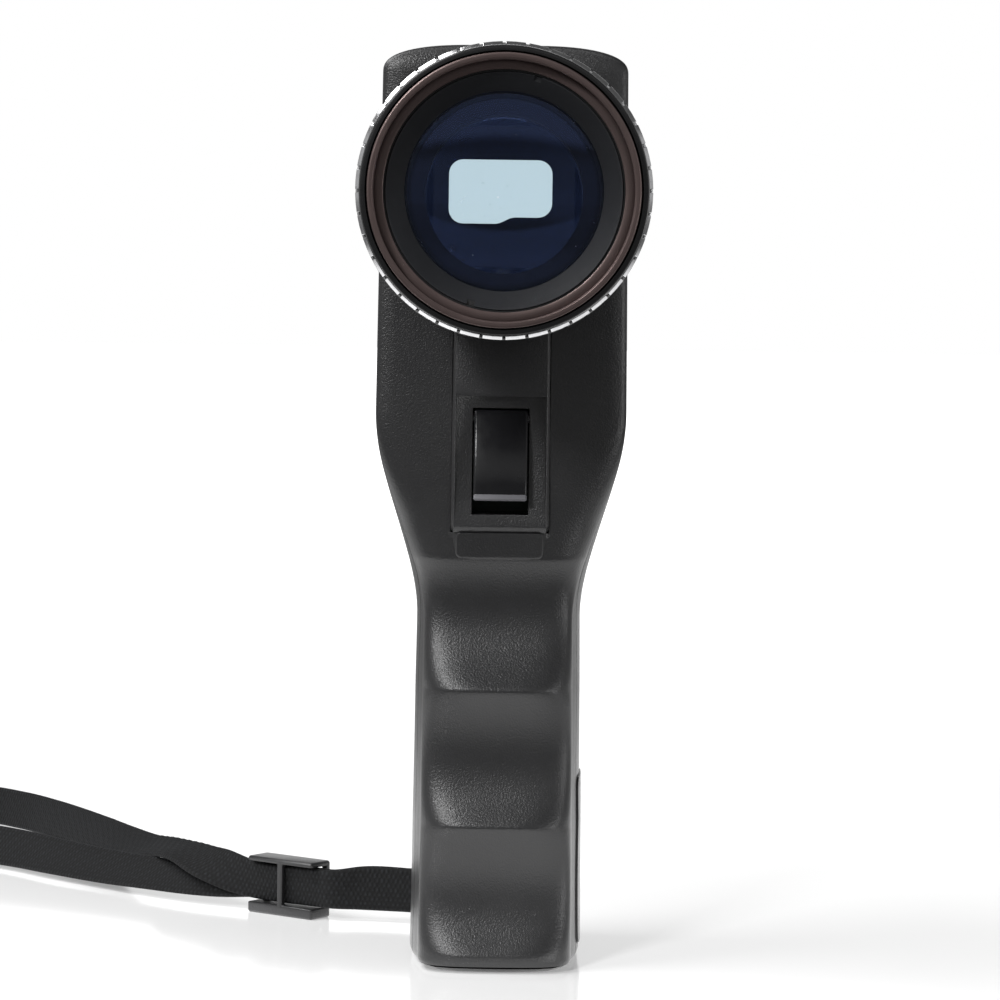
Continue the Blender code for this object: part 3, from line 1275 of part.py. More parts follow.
def make_finder_chassis():
    # A square tube around the optical axis, with the window mask as its front wall and two feet below.
    chassis = add(
        "finder_chassis",
        block_mesh(
            "finder_chassis",
            (-CHASSIS_HALF_WIDTH, CHASSIS_FRONT_Y, LENS_Z - CHASSIS_HALF_WIDTH),
            (CHASSIS_HALF_WIDTH, CHASSIS_BACK_Y, LENS_Z + CHASSIS_HALF_WIDTH),
        ),
        INNER_BLACK,
    )
    tunnel = far_block(
        "chassis_tunnel",
        (-CHASSIS_INNER, None, LENS_Z - CHASSIS_INNER),
        (CHASSIS_INNER, None, LENS_Z + CHASSIS_INNER),
    )
    boolean(chassis, tunnel)
    reach = TOP_HALF_WIDTH - WALL - CLEARANCE
    for side, name in ((-1, "chassis_ear_left"), (1, "chassis_ear_right")):
        inner, outer = side * (CHASSIS_HALF_WIDTH - CHASSIS_WALL / 2), side * reach
        ear = block_mesh(
            name,
            (min(inner, outer), SPLITTER_Y + CHASSIS_EAR, LENS_Z - CHASSIS_EAR),
            (max(inner, outer), SPLITTER_Y + 2 * CHASSIS_EAR, LENS_Z + CHASSIS_EAR),
        )
        boolean(chassis, cutter(name, ear), "UNION")
    low, high = -CHASSIS_HALF_WIDTH - OVERRUN, -CHASSIS_INNER / 2
    well = along(rod_mesh("sensor_well", SENSOR_RADIUS + SLIP, low, high, PLAIN_SEGMENTS), "Z")
    boolean(chassis, cutter("sensor_well", well, (0.0, SPLITTER_Y, LENS_Z)))
    return chassis


def make_field_mask():
    half = CHASSIS_HALF_WIDTH
    outer = [(-half, -half), (half, -half), (half, half), (-half, half)]
    back = CHASSIS_FRONT_Y - CLEARANCE
    front = back - MASK_THICKNESS
    mask = add(
        "field_mask",
        loft_mesh("field_mask", [[(x, y, LENS_Z + z) for x, z in outer] for y in (front, back)]),
        MATT_BLACK,
    )
    window = rounded_outline(MASK_HALF_WIDTH, MASK_HALF_HEIGHT, MASK_CORNER)
    rings = [[(x, y, LENS_Z + z) for x, z in window] for y in (front - OVERRUN, back + OVERRUN)]
    boolean(mask, cutter("field_window", loft_mesh("field_window", rings)))
    return mask


def make_prism():
    half = CHASSIS_INNER - CLEARANCE
    roof = half - PRISM_CHAMFER
    outline = [(-half, -half), (half, -half), (half, roof), (roof, half), (-roof, half), (-half, roof)]
    front = CHASSIS_FRONT_Y + PRISM_BACK
    rings = [[(x, y, LENS_Z + z) for x, z in outline] for y in (front, front + PRISM_LENGTH)]
    return add("roof_prism", loft_mesh("roof_prism", rings), CLEAR_GLASS)


def make_beam_splitter():
    half = CHASSIS_INNER - CLEARANCE
    plate = block_mesh(
        "beam_splitter",
        (-half, -SPLITTER_THICKNESS / 2, -SPLITTER_LENGTH / 2),
        (half, SPLITTER_THICKNESS / 2, SPLITTER_LENGTH / 2),
    )
    splitter = add("beam_splitter", plate, CLEAR_GLASS, (0.0, SPLITTER_Y - SPLITTER_THICKNESS, LENS_Z))
    splitter.rotation_euler = (-math.pi / 4, 0.0, 0.0)
    return splitter


def make_photo_sensor():
    top = -CHASSIS_INNER - CLEARANCE
    floor = -CHASSIS_HALF_WIDTH - CLEARANCE
    brim = floor - SENSOR_BRIM
    profile = [(0.0, top), (SENSOR_RADIUS - CLEARANCE, top), (SENSOR_RADIUS - CLEARANCE, floor)]
    profile += [(SENSOR_RADIUS + SENSOR_BRIM, floor), (SENSOR_RADIUS + SENSOR_BRIM, brim)]
    profile += [(0.0, brim)]
    mesh = along(turned_mesh("photo_sensor", profile, PLAIN_SEGMENTS), "Z")
    return add("photo_sensor", mesh, NICKEL, (0.0, SPLITTER_Y, LENS_Z), smooth=SHADE_ANGLE)


def make_display_module():
    top = LENS_Z - CHASSIS_HALF_WIDTH - CLEARANCE
    back = CHASSIS_BACK_Y - DISPLAY_BACK + DISPLAY_DEPTH
    mesh = block_mesh(
        "display_module",
        (-DISPLAY_HALF_WIDTH, back - DISPLAY_DEPTH, top - DISPLAY_HEIGHT),
        (DISPLAY_HALF_WIDTH, back, top),
        STRIP_EDGE / 2,
    )
    return add("display_module", mesh, LAMP_RED)


# Eyepiece

DIOPTRE_FRONT = BOX_REAR + EYE_FLANGE + 2 * CLEARANCE
DIOPTRE_STEP = DIOPTRE_FRONT + DIOPTRE_BODY
DIOPTRE_BACK = DIOPTRE_STEP + DIOPTRE_NECK
EYE_TUBE_END = BOX_REAR + EYE_TUBE_OUTSIDE


def make_eyepiece_tube():
    inner = EYE_TUBE_RADIUS - EYE_TUBE_WALL
    flange_front = BOX_REAR + CLEARANCE
    profile = [
        (inner, BOX_REAR - EYE_TUBE_INSIDE),
        (EYE_TUBE_RADIUS, BOX_REAR - EYE_TUBE_INSIDE),
        (EYE_TUBE_RADIUS, flange_front),
        (EYE_FLANGE_RADIUS, flange_front),
        (EYE_FLANGE_RADIUS, flange_front + EYE_FLANGE),
        (EYE_TUBE_RADIUS, flange_front + EYE_FLANGE),
        (EYE_TUBE_RADIUS, EYE_TUBE_END),
        (inner, EYE_TUBE_END),
    ]
    return add_turned("eyepiece_tube", profile, PLAIN_SEGMENTS, INNER_BLACK)


def make_dioptre_ring():
    hub = EYE_TUBE_RADIUS + CLEARANCE
    inner_step = EYE_TUBE_END + CLEARANCE
    count = DIOPTRE_RIBS
    rows = [plain_row(hub, DIOPTRE_FRONT, count, 0.0)]
    rows += knurled_rows(DIOPTRE_RADIUS, DIOPTRE_RIB_DEPTH, DIOPTRE_FRONT, DIOPTRE_STEP, count, 0.0)
    rows += [
        plain_row(DIOPTRE_NECK_RADIUS, DIOPTRE_STEP, count, 0.0),
        plain_row(DIOPTRE_NECK_RADIUS, DIOPTRE_BACK, count, 0.0),
        plain_row(DIOPTRE_LENS_RADIUS + SLIP, DIOPTRE_BACK, count, 0.0),
        plain_row(DIOPTRE_LENS_RADIUS + SLIP, inner_step + EYE_LENS_SEAT, count, 0.0),
        plain_row(DIOPTRE_LENS_RADIUS - EYE_LENS_SEAT, inner_step + EYE_LENS_SEAT, count, 0.0),
        plain_row(DIOPTRE_LENS_RADIUS - EYE_LENS_SEAT, inner_step, count, 0.0),
        plain_row(hub, inner_step, count, 0.0),
    ]
    return add_round("dioptre_ring", ring_mesh("dioptre_ring", rows), GLOSS_BLACK)


def make_eyepiece_lens():
    rim = EYE_TUBE_END + EYE_LENS_SEAT + 2 * CLEARANCE
    radius, bulge = DIOPTRE_LENS_RADIUS - SLIP, EYE_LENS_BULGE
    lens("eyepiece_lens", radius, rim, EYE_LENS_THICKNESS, bulge / 2, bulge, CLEAR_GLASS, PLAIN_SEGMENTS)


def make_eyecup():
    inner = DIOPTRE_NECK_RADIUS + SLIP
    front = DIOPTRE_STEP + CLEARANCE
    profile = [
        (inner, front),
        (inner + CUP_WALL, front),
        (CUP_RADIUS - CUP_LIP, REAR_Y - 3 * CUP_LIP),
        (CUP_RADIUS, REAR_Y - CUP_LIP),
        (CUP_RADIUS - CUP_LIP / 2, REAR_Y),
        (CUP_RADIUS - 2 * CUP_LIP, REAR_Y),
        (CUP_RADIUS - 2 * CUP_LIP, REAR_Y - CUP_LIP),
        (inner, DIOPTRE_BACK),
    ]
    return add_turned("eyecup", profile, PLAIN_SEGMENTS, RUBBER)


# Battery and its contacts

BATTERY_Y = BASE_SCREW_PLACES[1] - BASE_BOSS_RADIUS - CRADLE_GAP - CRADLE_HALF


def make_battery():
    profile = [(0.0, 0.0), (BATTERY_RADIUS - CLEARANCE, 0.0), (BATTERY_RADIUS, CLEARANCE)]
    shoulder = BATTERY_LENGTH - BATTERY_STUD
    profile += [(BATTERY_RADIUS, shoulder - CLEARANCE), (BATTERY_RADIUS - CLEARANCE, shoulder)]
    stud = BATTERY_STUD_RADIUS
    profile += [(stud, shoulder), (stud, BATTERY_LENGTH), (0.0, BATTERY_LENGTH)]
    mesh = along(turned_mesh("battery", profile, PLAIN_SEGMENTS), "Z")
    return add("battery", mesh, CELL_LABEL, (BATTERY_X, BATTERY_Y, BATTERY_BOTTOM), smooth=SHADE_ANGLE)


def make_contacts():
    low = BATTERY_BOTTOM - CLEARANCE - CONTACT_THICKNESS
    plate = along(
        rod_mesh("battery_contact_plate", CONTACT_RADIUS, 0.0, CONTACT_THICKNESS, PLAIN_SEGMENTS), "Z"
    )
    add("battery_contact_plate", plate, NICKEL, (BATTERY_X, BATTERY_Y, low), smooth=SHADE_ANGLE)
    coil_object(
        "battery_contact_spring", (COIL_TIP_RADIUS, COIL_BASE_RADIUS), COIL_START, COIL_HEIGHT, COIL_TURNS,
        COIL_WIRE_RADIUS, "Z", (BATTERY_X, BATTERY_Y, 0.0), NICKEL,
    )


def make_battery_cradle():
    # A trough open towards the door, with a floor under the lower contact and a roof over the coil.
    low = PLATE_PLUG + CLEARANCE
    high = CRADLE_TOP
    radius = BATTERY_RADIUS + CLEARANCE
    outer = CRADLE_HALF
    cradle = add(
        "battery_cradle",
        block_mesh(
            "battery_cradle",
            (BATTERY_X - outer, BATTERY_Y - outer, low),
            (BATTERY_X + radius / 2, BATTERY_Y + outer, high),
        ),
        INNER_BLACK,
    )
    trough = far_block(
        "cradle_hollow",
        (BATTERY_X, BATTERY_Y - radius, low + SHELF_THICKNESS),
        (None, BATTERY_Y + radius, high - SHELF_THICKNESS),
    )
    boolean(cradle, trough)
    round_part = along(
        rod_mesh("cradle_bore", radius, low + SHELF_THICKNESS, high - SHELF_THICKNESS, PLAIN_SEGMENTS), "Z"
    )
    boolean(cradle, cutter("cradle_bore", round_part, (BATTERY_X, BATTERY_Y, 0.0)))
    return cradle


# Screws

def screw_mesh(name, length):
    # Pan head and shank about Y: the head's top faces +Y and the shank runs towards -Y.
    top, neck = SCREW_HEAD, 0.0
    profile = [(0.0, top), (SCREW_HEAD_RADIUS * SCREW_CROWN_SHARE, top)]
    profile += [(SCREW_HEAD_RADIUS, mix(top, neck, SCREW_CROWN_SHARE)), (SCREW_HEAD_RADIUS, neck)]
    profile += [(SCREW_RADIUS, neck), (SCREW_RADIUS, -length + SCREW_RADIUS), (0.0, -length)]
    return turned_mesh(name, profile, SCREW_SEGMENTS)


def add_screw(name, length, place, turn=None):
    mesh = screw_mesh(name, length)
    half = SCREW_HEAD_RADIUS * SCREW_SLOT_SHARE / 2
    reach = SCREW_HEAD_RADIUS * 2 * SCREW_SLOT_SHARE
    floor = SCREW_HEAD * (1.0 - SCREW_SLOT_DEPTH_SHARE)
    bm = bmesh.new()
    arms = [(half, half), (reach, half), (reach, -half), (half, -half), (half, -reach), (-half, -reach)]
    arms += [(-half, -half), (-reach, -half), (-reach, half), (-half, half), (-half, reach), (half, reach)]
    rows = [[bm.verts.new((x, y, z)) for x, z in arms] for y in (floor, SCREW_HEAD + OVERRUN)]
    for index in range(len(arms)):
        nxt = (index + 1) % len(arms)
        bm.faces.new((rows[0][index], rows[0][nxt], rows[1][nxt], rows[1][index]))
    bm.faces.new(rows[0])
    bm.faces.new(rows[1])
    cross = finish_mesh(f"{name}_cross", bm)
    screw = add(name, mesh, SCREW_BLACK, place, smooth=SHADE_ANGLE)
    recess = cutter(f"{name}_cross", cross, place)
    if turn:
        screw.rotation_euler = turn
        recess.rotation_euler = turn
    boolean(screw, recess)
    return screw


def make_screws():
    for index, (x, z) in enumerate(cover_screw_places(), 1):
        add_screw(f"rear_cover_screw_{index}", SCREW_LENGTH, (x, COVER_HEAD_Y, z))
    for index, (x, z) in enumerate(grip_screw_places(), 1):
        add_screw(f"grip_screw_{index}", GRIP_SCREW_LENGTH, (x, GRIP_HEAD_Y, z))
    down = (-math.pi / 2, 0.0, 0.0)
    for index, y in enumerate(BASE_SCREW_PLACES, 1):
        place = (0.0, y, BASE_SCREW_SINK + SCREW_HEAD)
        add_screw(f"base_screw_{index}", BASE_SCREW_LENGTH, place, down)
    for index, side in enumerate((-1, 1), 1):
        place = (side * LUG_SCREW_SIDE, LUG_PLATE_REAR + SLIP, STRAP_MIDDLE_Z)
        add_screw(f"lug_screw_{index}", LUG_SCREW_LENGTH - WALL / 2, place)


# Strap lug, webbing and slider

GRIP_SCREW_LENGTH = GRIP_HEAD_Y - GRIP_FRONT - GROOVE_DEPTH - 2 * WALL
LUG_BACK = GRIP_REAR + LUG_SEAT
LUG_PLATE_REAR = LUG_BACK + LUG_THICKNESS
LOOP_INNER = LUG_PIN_RADIUS + LOOP_CLEARANCE
LOOP_OUTER = LOOP_INNER + STRAP_THICKNESS
LOOP_MIDDLE = (LOOP_INNER + LOOP_OUTER) / 2
PIN_Y = LUG_PLATE_REAR + LOOP_CLEARANCE + LOOP_OUTER
LAYER_OFFSET = (STRAP_THICKNESS + LAYER_GAP) / 2

# The slider's near end and its heading, as seen from above
SLIDER_START = Vector((-0.0310, 0.0356))
SLIDER_HEADING = Vector((-0.80, 0.60))
SLIDER_END = SLIDER_START + SLIDER_HEADING * SLIDER_LENGTH

# The free loop beyond the slider: across, away from the viewer, height of the middle, lean in degrees.
# The webbing lies on its edge, and the second leg crosses over the first one's upper edge.
LOOP_ROUTE = (
    (-0.0505, 0.0492, 0.0052, 24.0),
    (-0.0615, 0.0580, 0.0041, 48.0),
    (-0.0709, 0.0667, 0.0038, 46.0),
    (-0.0826, 0.0775, 0.0040, 40.0),
    (-0.0915, 0.0865, 0.0042, 30.0),
    (-0.1020, 0.0950, 0.0043, 18.0),
    (-0.1145, 0.1045, 0.0044, 8.0),
    (-0.1245, 0.1160, 0.0044, 4.0),
    (-0.1290, 0.1290, 0.0044, 0.0),
    (-0.1265, 0.1410, 0.0044, -2.0),
    (-0.1175, 0.1480, 0.0044, -4.0),
    (-0.1065, 0.1465, 0.0044, -6.0),
    (-0.0970, 0.1375, 0.0044, -8.0),
    (-0.0891, 0.1258, 0.0044, -12.0),
    (-0.0830, 0.1150, 0.0044, -16.0),
    (-0.0774, 0.1042, 0.0044, -22.0),
    (-0.0722, 0.0930, 0.0046, -36.0),
    (-0.0673, 0.0810, 0.0056, -54.0),
    (-0.0622, 0.0690, 0.0074, -68.0),
    (-0.0568, 0.0580, 0.0083, -72.0),
    (-0.0518, 0.0500, 0.0075, -50.0),
)


def make_strap_lug():
    # A bent plate: its back lies on the grip, and two ears hold the upright pin.
    low, high = STRAP_MIDDLE_Z - LUG_HALF_HEIGHT, STRAP_MIDDLE_Z + LUG_HALF_HEIGHT
    lug = add(
        "strap_lug",
        block_mesh("strap_lug", (-LUG_HALF_WIDTH, LUG_BACK, low), (LUG_HALF_WIDTH, LUG_PLATE_REAR, high)),
        SCREW_BLACK,
    )
    reach = PIN_Y + LUG_PIN_RADIUS + LUG_THICKNESS
    ears = block_mesh("lug_ears", (-LUG_EAR_HALF, LUG_BACK + SLIP, low), (LUG_EAR_HALF, reach, high))
    boolean(lug, cutter("lug_ears", ears), "UNION")
    gap = far_block(
        "lug_gap",
        (None, LUG_PLATE_REAR, low + LUG_THICKNESS),
        (None, None, high - LUG_THICKNESS),
    )
    boolean(lug, gap)
    start, end = low - OVERRUN, high + OVERRUN
    hole = along(rod_mesh("lug_pin_hole", LUG_PIN_RADIUS + SLIP, start, end, SMALL_SEGMENTS), "Z")
    boolean(lug, cutter("lug_pin_hole", hole, (0.0, PIN_Y, 0.0)))
    for side, name in ((-1, "lug_hole_left"), (1, "lug_hole_right")):
        start, end = LUG_BACK - OVERRUN, LUG_PLATE_REAR + OVERRUN
        bore = rod_mesh(name, SCREW_RADIUS + SLIP, start, end, SMALL_SEGMENTS)
        boolean(lug, cutter(name, bore, (side * LUG_SCREW_SIDE, 0.0, STRAP_MIDDLE_Z)))
    pin = along(rod_mesh("strap_pin", LUG_PIN_RADIUS, low, high, SMALL_SEGMENTS), "Z")
    add("strap_pin", pin, SPRING_STEEL, (0.0, PIN_Y, 0.0), smooth=SHADE_ANGLE)
    return lug


def leaving():
    # The way the doubled webbing leaves the pin, and the pin's place, both seen from above.
    pin = Vector((0.0, PIN_Y))
    return pin, (SLIDER_START - pin).normalized()


def make_pin_loop():
    # The webbing's bend round the pin, with two short straight tails.
    pin, heading = leaving()
    side = Vector((heading.y, -heading.x))
    steps = 12
    bend = []
    for step in range(steps + 1):
        angle = math.pi * step / steps
        bend.append(side * math.cos(angle) - heading * math.sin(angle))
    outline = [pin + side * LOOP_OUTER + heading * LOOP_TAIL]
    outline += [pin + arm * LOOP_OUTER for arm in bend]
    tail = heading * LOOP_TAIL
    outline += [pin - side * LOOP_OUTER + tail, pin - side * LOOP_INNER + tail]
    outline += [pin + arm * LOOP_INNER for arm in reversed(bend)]
    outline += [pin + side * LOOP_INNER + tail]
    low, high = STRAP_MIDDLE_Z - STRAP_WIDTH / 2, STRAP_MIDDLE_Z + STRAP_WIDTH / 2
    return add("strap_pin_loop", slab_mesh("strap_pin_loop", outline, low, high), WEBBING)


def smooth_rows(rows, spacing):
    # A curve through rows of numbers, whose slope at each row is weighted by the spans beside it.
    rows = np.array(rows, float)
    spans = np.linalg.norm(np.diff(rows[:, :3], axis=0), axis=1)
    rates = np.diff(rows, axis=0) / spans[:, None]
    ahead, behind = spans[1:, None], spans[:-1, None]
    inner = (rates[:-1] * ahead + rates[1:] * behind) / (ahead + behind)
    slopes = np.vstack([rates[:1], inner, rates[-1:]])
    made = []
    for index, span in enumerate(spans):
        count = max(1, round(span / spacing))
        for step in range(count):
            t = step / count
            made.append(
                rows[index] * (1 - 3 * t ** 2 + 2 * t ** 3) + rows[index + 1] * (3 * t ** 2 - 2 * t ** 3)
                + span * (slopes[index] * (t - 2 * t ** 2 + t ** 3) + slopes[index + 1] * (t ** 3 - t ** 2))
            )
    return made + [rows[-1]]


def strap_rows():
    # Rows of across, away, height, lean in degrees and width along the whole webbing: out along the
    # back layer, round the free loop and home along the front layer.
    pin, heading = leaving()
    middle, narrow = STRAP_MIDDLE_Z, SLIDER_STRAP_WIDTH
    slider_z = SLIDER_LOWER_RAIL + CLEARANCE + narrow / 2
    start = LOOP_TAIL + LAYER_GAP
    far = (SLIDER_START - pin).length
    merge, settle = start + STRAP_MERGE_SHARE * far, start + STRAP_SETTLE_SHARE * far
    shared = [
        (pin + heading * start, heading, LOOP_MIDDLE, middle, STRAP_WIDTH),
        (pin + heading * (start + STRAP_THICKNESS), heading, LOOP_MIDDLE, middle, STRAP_WIDTH),
        (pin + heading * merge, heading, LAYER_OFFSET, middle, STRAP_WIDTH),
        (pin + heading * settle, heading, LAYER_OFFSET, middle, STRAP_WIDTH),
        (SLIDER_START - SLIDER_HEADING * OVERRUN, SLIDER_HEADING, LAYER_OFFSET, slider_z, narrow),
        (SLIDER_START, SLIDER_HEADING, LAYER_OFFSET, slider_z, narrow),
        (SLIDER_END, SLIDER_HEADING, LAYER_OFFSET, slider_z, narrow),
    ]
    out, home = [], []
    for place, way, offset, z, width in shared:
        side = Vector((way.y, -way.x)) * offset
        out.append((*(place + side), z, 0.0, width))
        home.append((*(place - side), z, 0.0, width))
    loop = [(*row, STRAP_WIDTH) for row in LOOP_ROUTE]
    return out + loop + home[::-1]


def make_wrist_strap():
    rows = smooth_rows(strap_rows(), STRAP_SPACING)
    rings = []
    for index, row in enumerate(rows):
        before, after = rows[max(index - 1, 0)], rows[min(index + 1, len(rows) - 1)]
        way = Vector((after[0] - before[0], after[1] - before[1], 0.0)).normalized()
        side = Vector((way.y, -way.x, 0.0))
        lean = math.radians(row[3])
        up = side * math.sin(lean) + Vector((0, 0, math.cos(lean)))
        face = side * math.cos(lean) - Vector((0, 0, math.sin(lean)))
        middle = Vector(row[:3])
        half_up, half_face = up * row[4] / 2, face * STRAP_THICKNESS / 2
        rings.append([
            middle + half_up + half_face, middle + half_up - half_face,
            middle - half_up - half_face, middle - half_up + half_face,
        ])
    length = sum((Vector(b[:3]) - Vector(a[:3])).length for a, b in zip(rows, rows[1:]))
    lowest = min(point.z for ring in rings for point in ring)
    print(f"wrist strap: {length * 1000:.0f} mm of webbing, lowest point {lowest * 1000:.2f} mm")
    return add("wrist_strap", loft_mesh("wrist_strap", rings), WEBBING)


def make_slider():
    # Two rails joined by a bar at each end behind the webbing and one in the middle in front of it.
    room = 2 * STRAP_THICKNESS + LAYER_GAP + 2 * CLEARANCE
    depth = room + 2 * SLIDER_BAR
    half = depth / 2
    frame = block_mesh(
        "strap_slider", (0.0, -half, 0.0), (SLIDER_LENGTH, half, SLIDER_HEIGHT), SLIDER_BEVEL, 2
    )
    slider = add("strap_slider", frame, GLOSS_BLACK, (*SLIDER_START, 0.0))
    turn = math.atan2(SLIDER_HEADING.y, SLIDER_HEADING.x)
    inner_top = SLIDER_LOWER_RAIL + 2 * CLEARANCE + SLIDER_STRAP_WIDTH
    reach = SLIDER_LENGTH + OVERRUN
    left_bar, right_bar = SLIDER_BAR, SLIDER_LENGTH - SLIDER_BAR
    middle = SLIDER_LENGTH / 2
    bar = SLIDER_CENTRE_BAR / 2
    cuts = {
        "slider_tunnel": ((-OVERRUN, -room / 2, SLIDER_LOWER_RAIL), (reach, room / 2, inner_top)),
        "slider_back_window": ((left_bar, -depth, SLIDER_LOWER_RAIL), (right_bar, 0.0, inner_top)),
        "slider_near_front": ((-OVERRUN, 0.0, SLIDER_LOWER_RAIL), (middle - bar, depth, inner_top)),
        "slider_far_front": ((middle + bar, 0.0, SLIDER_LOWER_RAIL), (reach, depth, inner_top)),
    }
    slider.rotation_euler = (0.0, 0.0, turn)
    for name, (low, high) in cuts.items():
        cut = cutter(name, block_mesh(name, low, high), (*SLIDER_START, 0.0))
        cut.rotation_euler = (0.0, 0.0, turn)
        boolean(slider, cut)
    return slider


clear_scene()
CAVITY = cutter("cavity", cavity_mesh("cavity"))
make_main_housing()
make_rear_cover()
make_grip_back()
make_base_plate()
make_battery_door()
make_barrel_tube()
make_barrel_nut()
make_index_collar()
make_filter_ring()
make_retaining_ring()
make_lenses()
make_aperture_stop()
make_exposure_ring()
make_speed_ring()
make_scale_sleeve()
make_trigger_housing()
make_trigger()
make_trigger_pin()
make_trigger_spring()
make_microswitch()
make_circuit_board()
make_finder_chassis()
make_field_mask()
make_prism()
make_beam_splitter()
make_photo_sensor()
make_display_module()
make_eyepiece_tube()
make_dioptre_ring()
make_eyepiece_lens()
make_eyecup()
make_battery()
make_contacts()
make_battery_cradle()
make_screws()
make_strap_lug()
make_pin_loop()
make_wrist_strap()
make_slider()
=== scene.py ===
# Looks of the pistol-grip spot meter. Shapes are worked out on grids with numpy in the CAD part's frame, in metres.
# Outlines of turned pieces and patterns of materials are written in millimetres.

from functools import partial

import bmesh
import bpy
import numpy as np
from mathutils import Matrix, Vector


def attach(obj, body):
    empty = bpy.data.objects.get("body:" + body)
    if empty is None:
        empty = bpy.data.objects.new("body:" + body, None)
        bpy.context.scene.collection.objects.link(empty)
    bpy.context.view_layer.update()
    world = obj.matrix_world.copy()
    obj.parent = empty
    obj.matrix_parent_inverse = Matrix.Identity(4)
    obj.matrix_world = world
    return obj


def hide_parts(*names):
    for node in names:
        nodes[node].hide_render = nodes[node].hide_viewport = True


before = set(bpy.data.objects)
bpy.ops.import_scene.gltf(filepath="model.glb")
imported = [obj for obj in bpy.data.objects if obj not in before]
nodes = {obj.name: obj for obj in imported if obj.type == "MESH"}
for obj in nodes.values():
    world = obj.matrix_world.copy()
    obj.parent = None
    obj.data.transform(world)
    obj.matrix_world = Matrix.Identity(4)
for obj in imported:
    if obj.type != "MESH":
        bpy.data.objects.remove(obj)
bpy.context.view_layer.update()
scene = bpy.context.scene
mm = 0.001
lensZ = 0.1278
wanderShare = 0.31  # size of the patches in a surface's roughness against its clouds of colour
print("frame loaded:", len(nodes), "nodes")


# Camera, straight in front of the lens and a little above it

camera = {"place": (0.0, -0.637, 0.1135), "tilt": 3.25, "roll": 0.78, "lens": 136.7, "sensor": 36.0, "near": 0.01}


def addObject(name, data):
    made = bpy.data.objects.new(name, data)
    scene.collection.objects.link(made)
    return made


def turned(degrees, axis):
    return Matrix.Rotation(np.radians(degrees), 4, axis)


scene.camera = addObject("camera", bpy.data.cameras.new("camera"))
scene.camera.data.lens = camera["lens"]
scene.camera.data.sensor_width = camera["sensor"]
scene.camera.data.clip_start = camera["near"]
aim = turned(90 - camera["tilt"], "X") @ turned(camera["roll"], "Z")
scene.camera.matrix_world = Matrix.Translation(camera["place"]) @ aim
scene.view_settings.view_transform = "Standard"


# Small tools

def toLinear(code):
    # sRGB hex to linear light: c / 12.92 near black, otherwise ((c + 0.055) / 1.055) to the power 2.4.
    raw = np.array([int(code[i:i + 2], 16) / 255 for i in (1, 3, 5)])
    light = np.where(raw <= 0.04045, raw / 12.92, ((raw + 0.055) / 1.055) ** 2.4)
    return (*light.tolist(), 1.0)


def wire(node, links):
    # Links into a node's sockets, each from another node's first output or from one given output.
    for key, source in links.items():
        socket = source if isinstance(source, bpy.types.NodeSocket) else source.outputs[0]
        node.id_data.links.new(socket, node.inputs[key])


def addNode(tree, kind, settings=None, links=None):
    # One node. A setting is a socket's value where a socket has that name, otherwise the node's own property.
    node = tree.nodes.new("ShaderNode" + kind)
    for key, value in (settings or {}).items():
        if isinstance(key, int) or key in node.inputs:
            node.inputs[key].default_value = value
        else:
            setattr(node, key, value)
    wire(node, links or {})
    return node


def twoTones(first, second):
    # Settings that mix two colours.
    return {"data_type": "RGBA", 6: toLinear(first), 7: toLinear(second)}


def newMaterial(name, settings):
    # A Principled material with its constants on the shader's own sockets. It comes with what adds its nodes.
    material = bpy.data.materials.new(name)
    material.use_nodes = True
    add = partial(addNode, material.node_tree)
    shader = material.node_tree.nodes["Principled BSDF"]
    for key, value in settings.items():
        shader.inputs[key].default_value = value
    return material, add, shader, add("TexCoord").outputs["Object"]


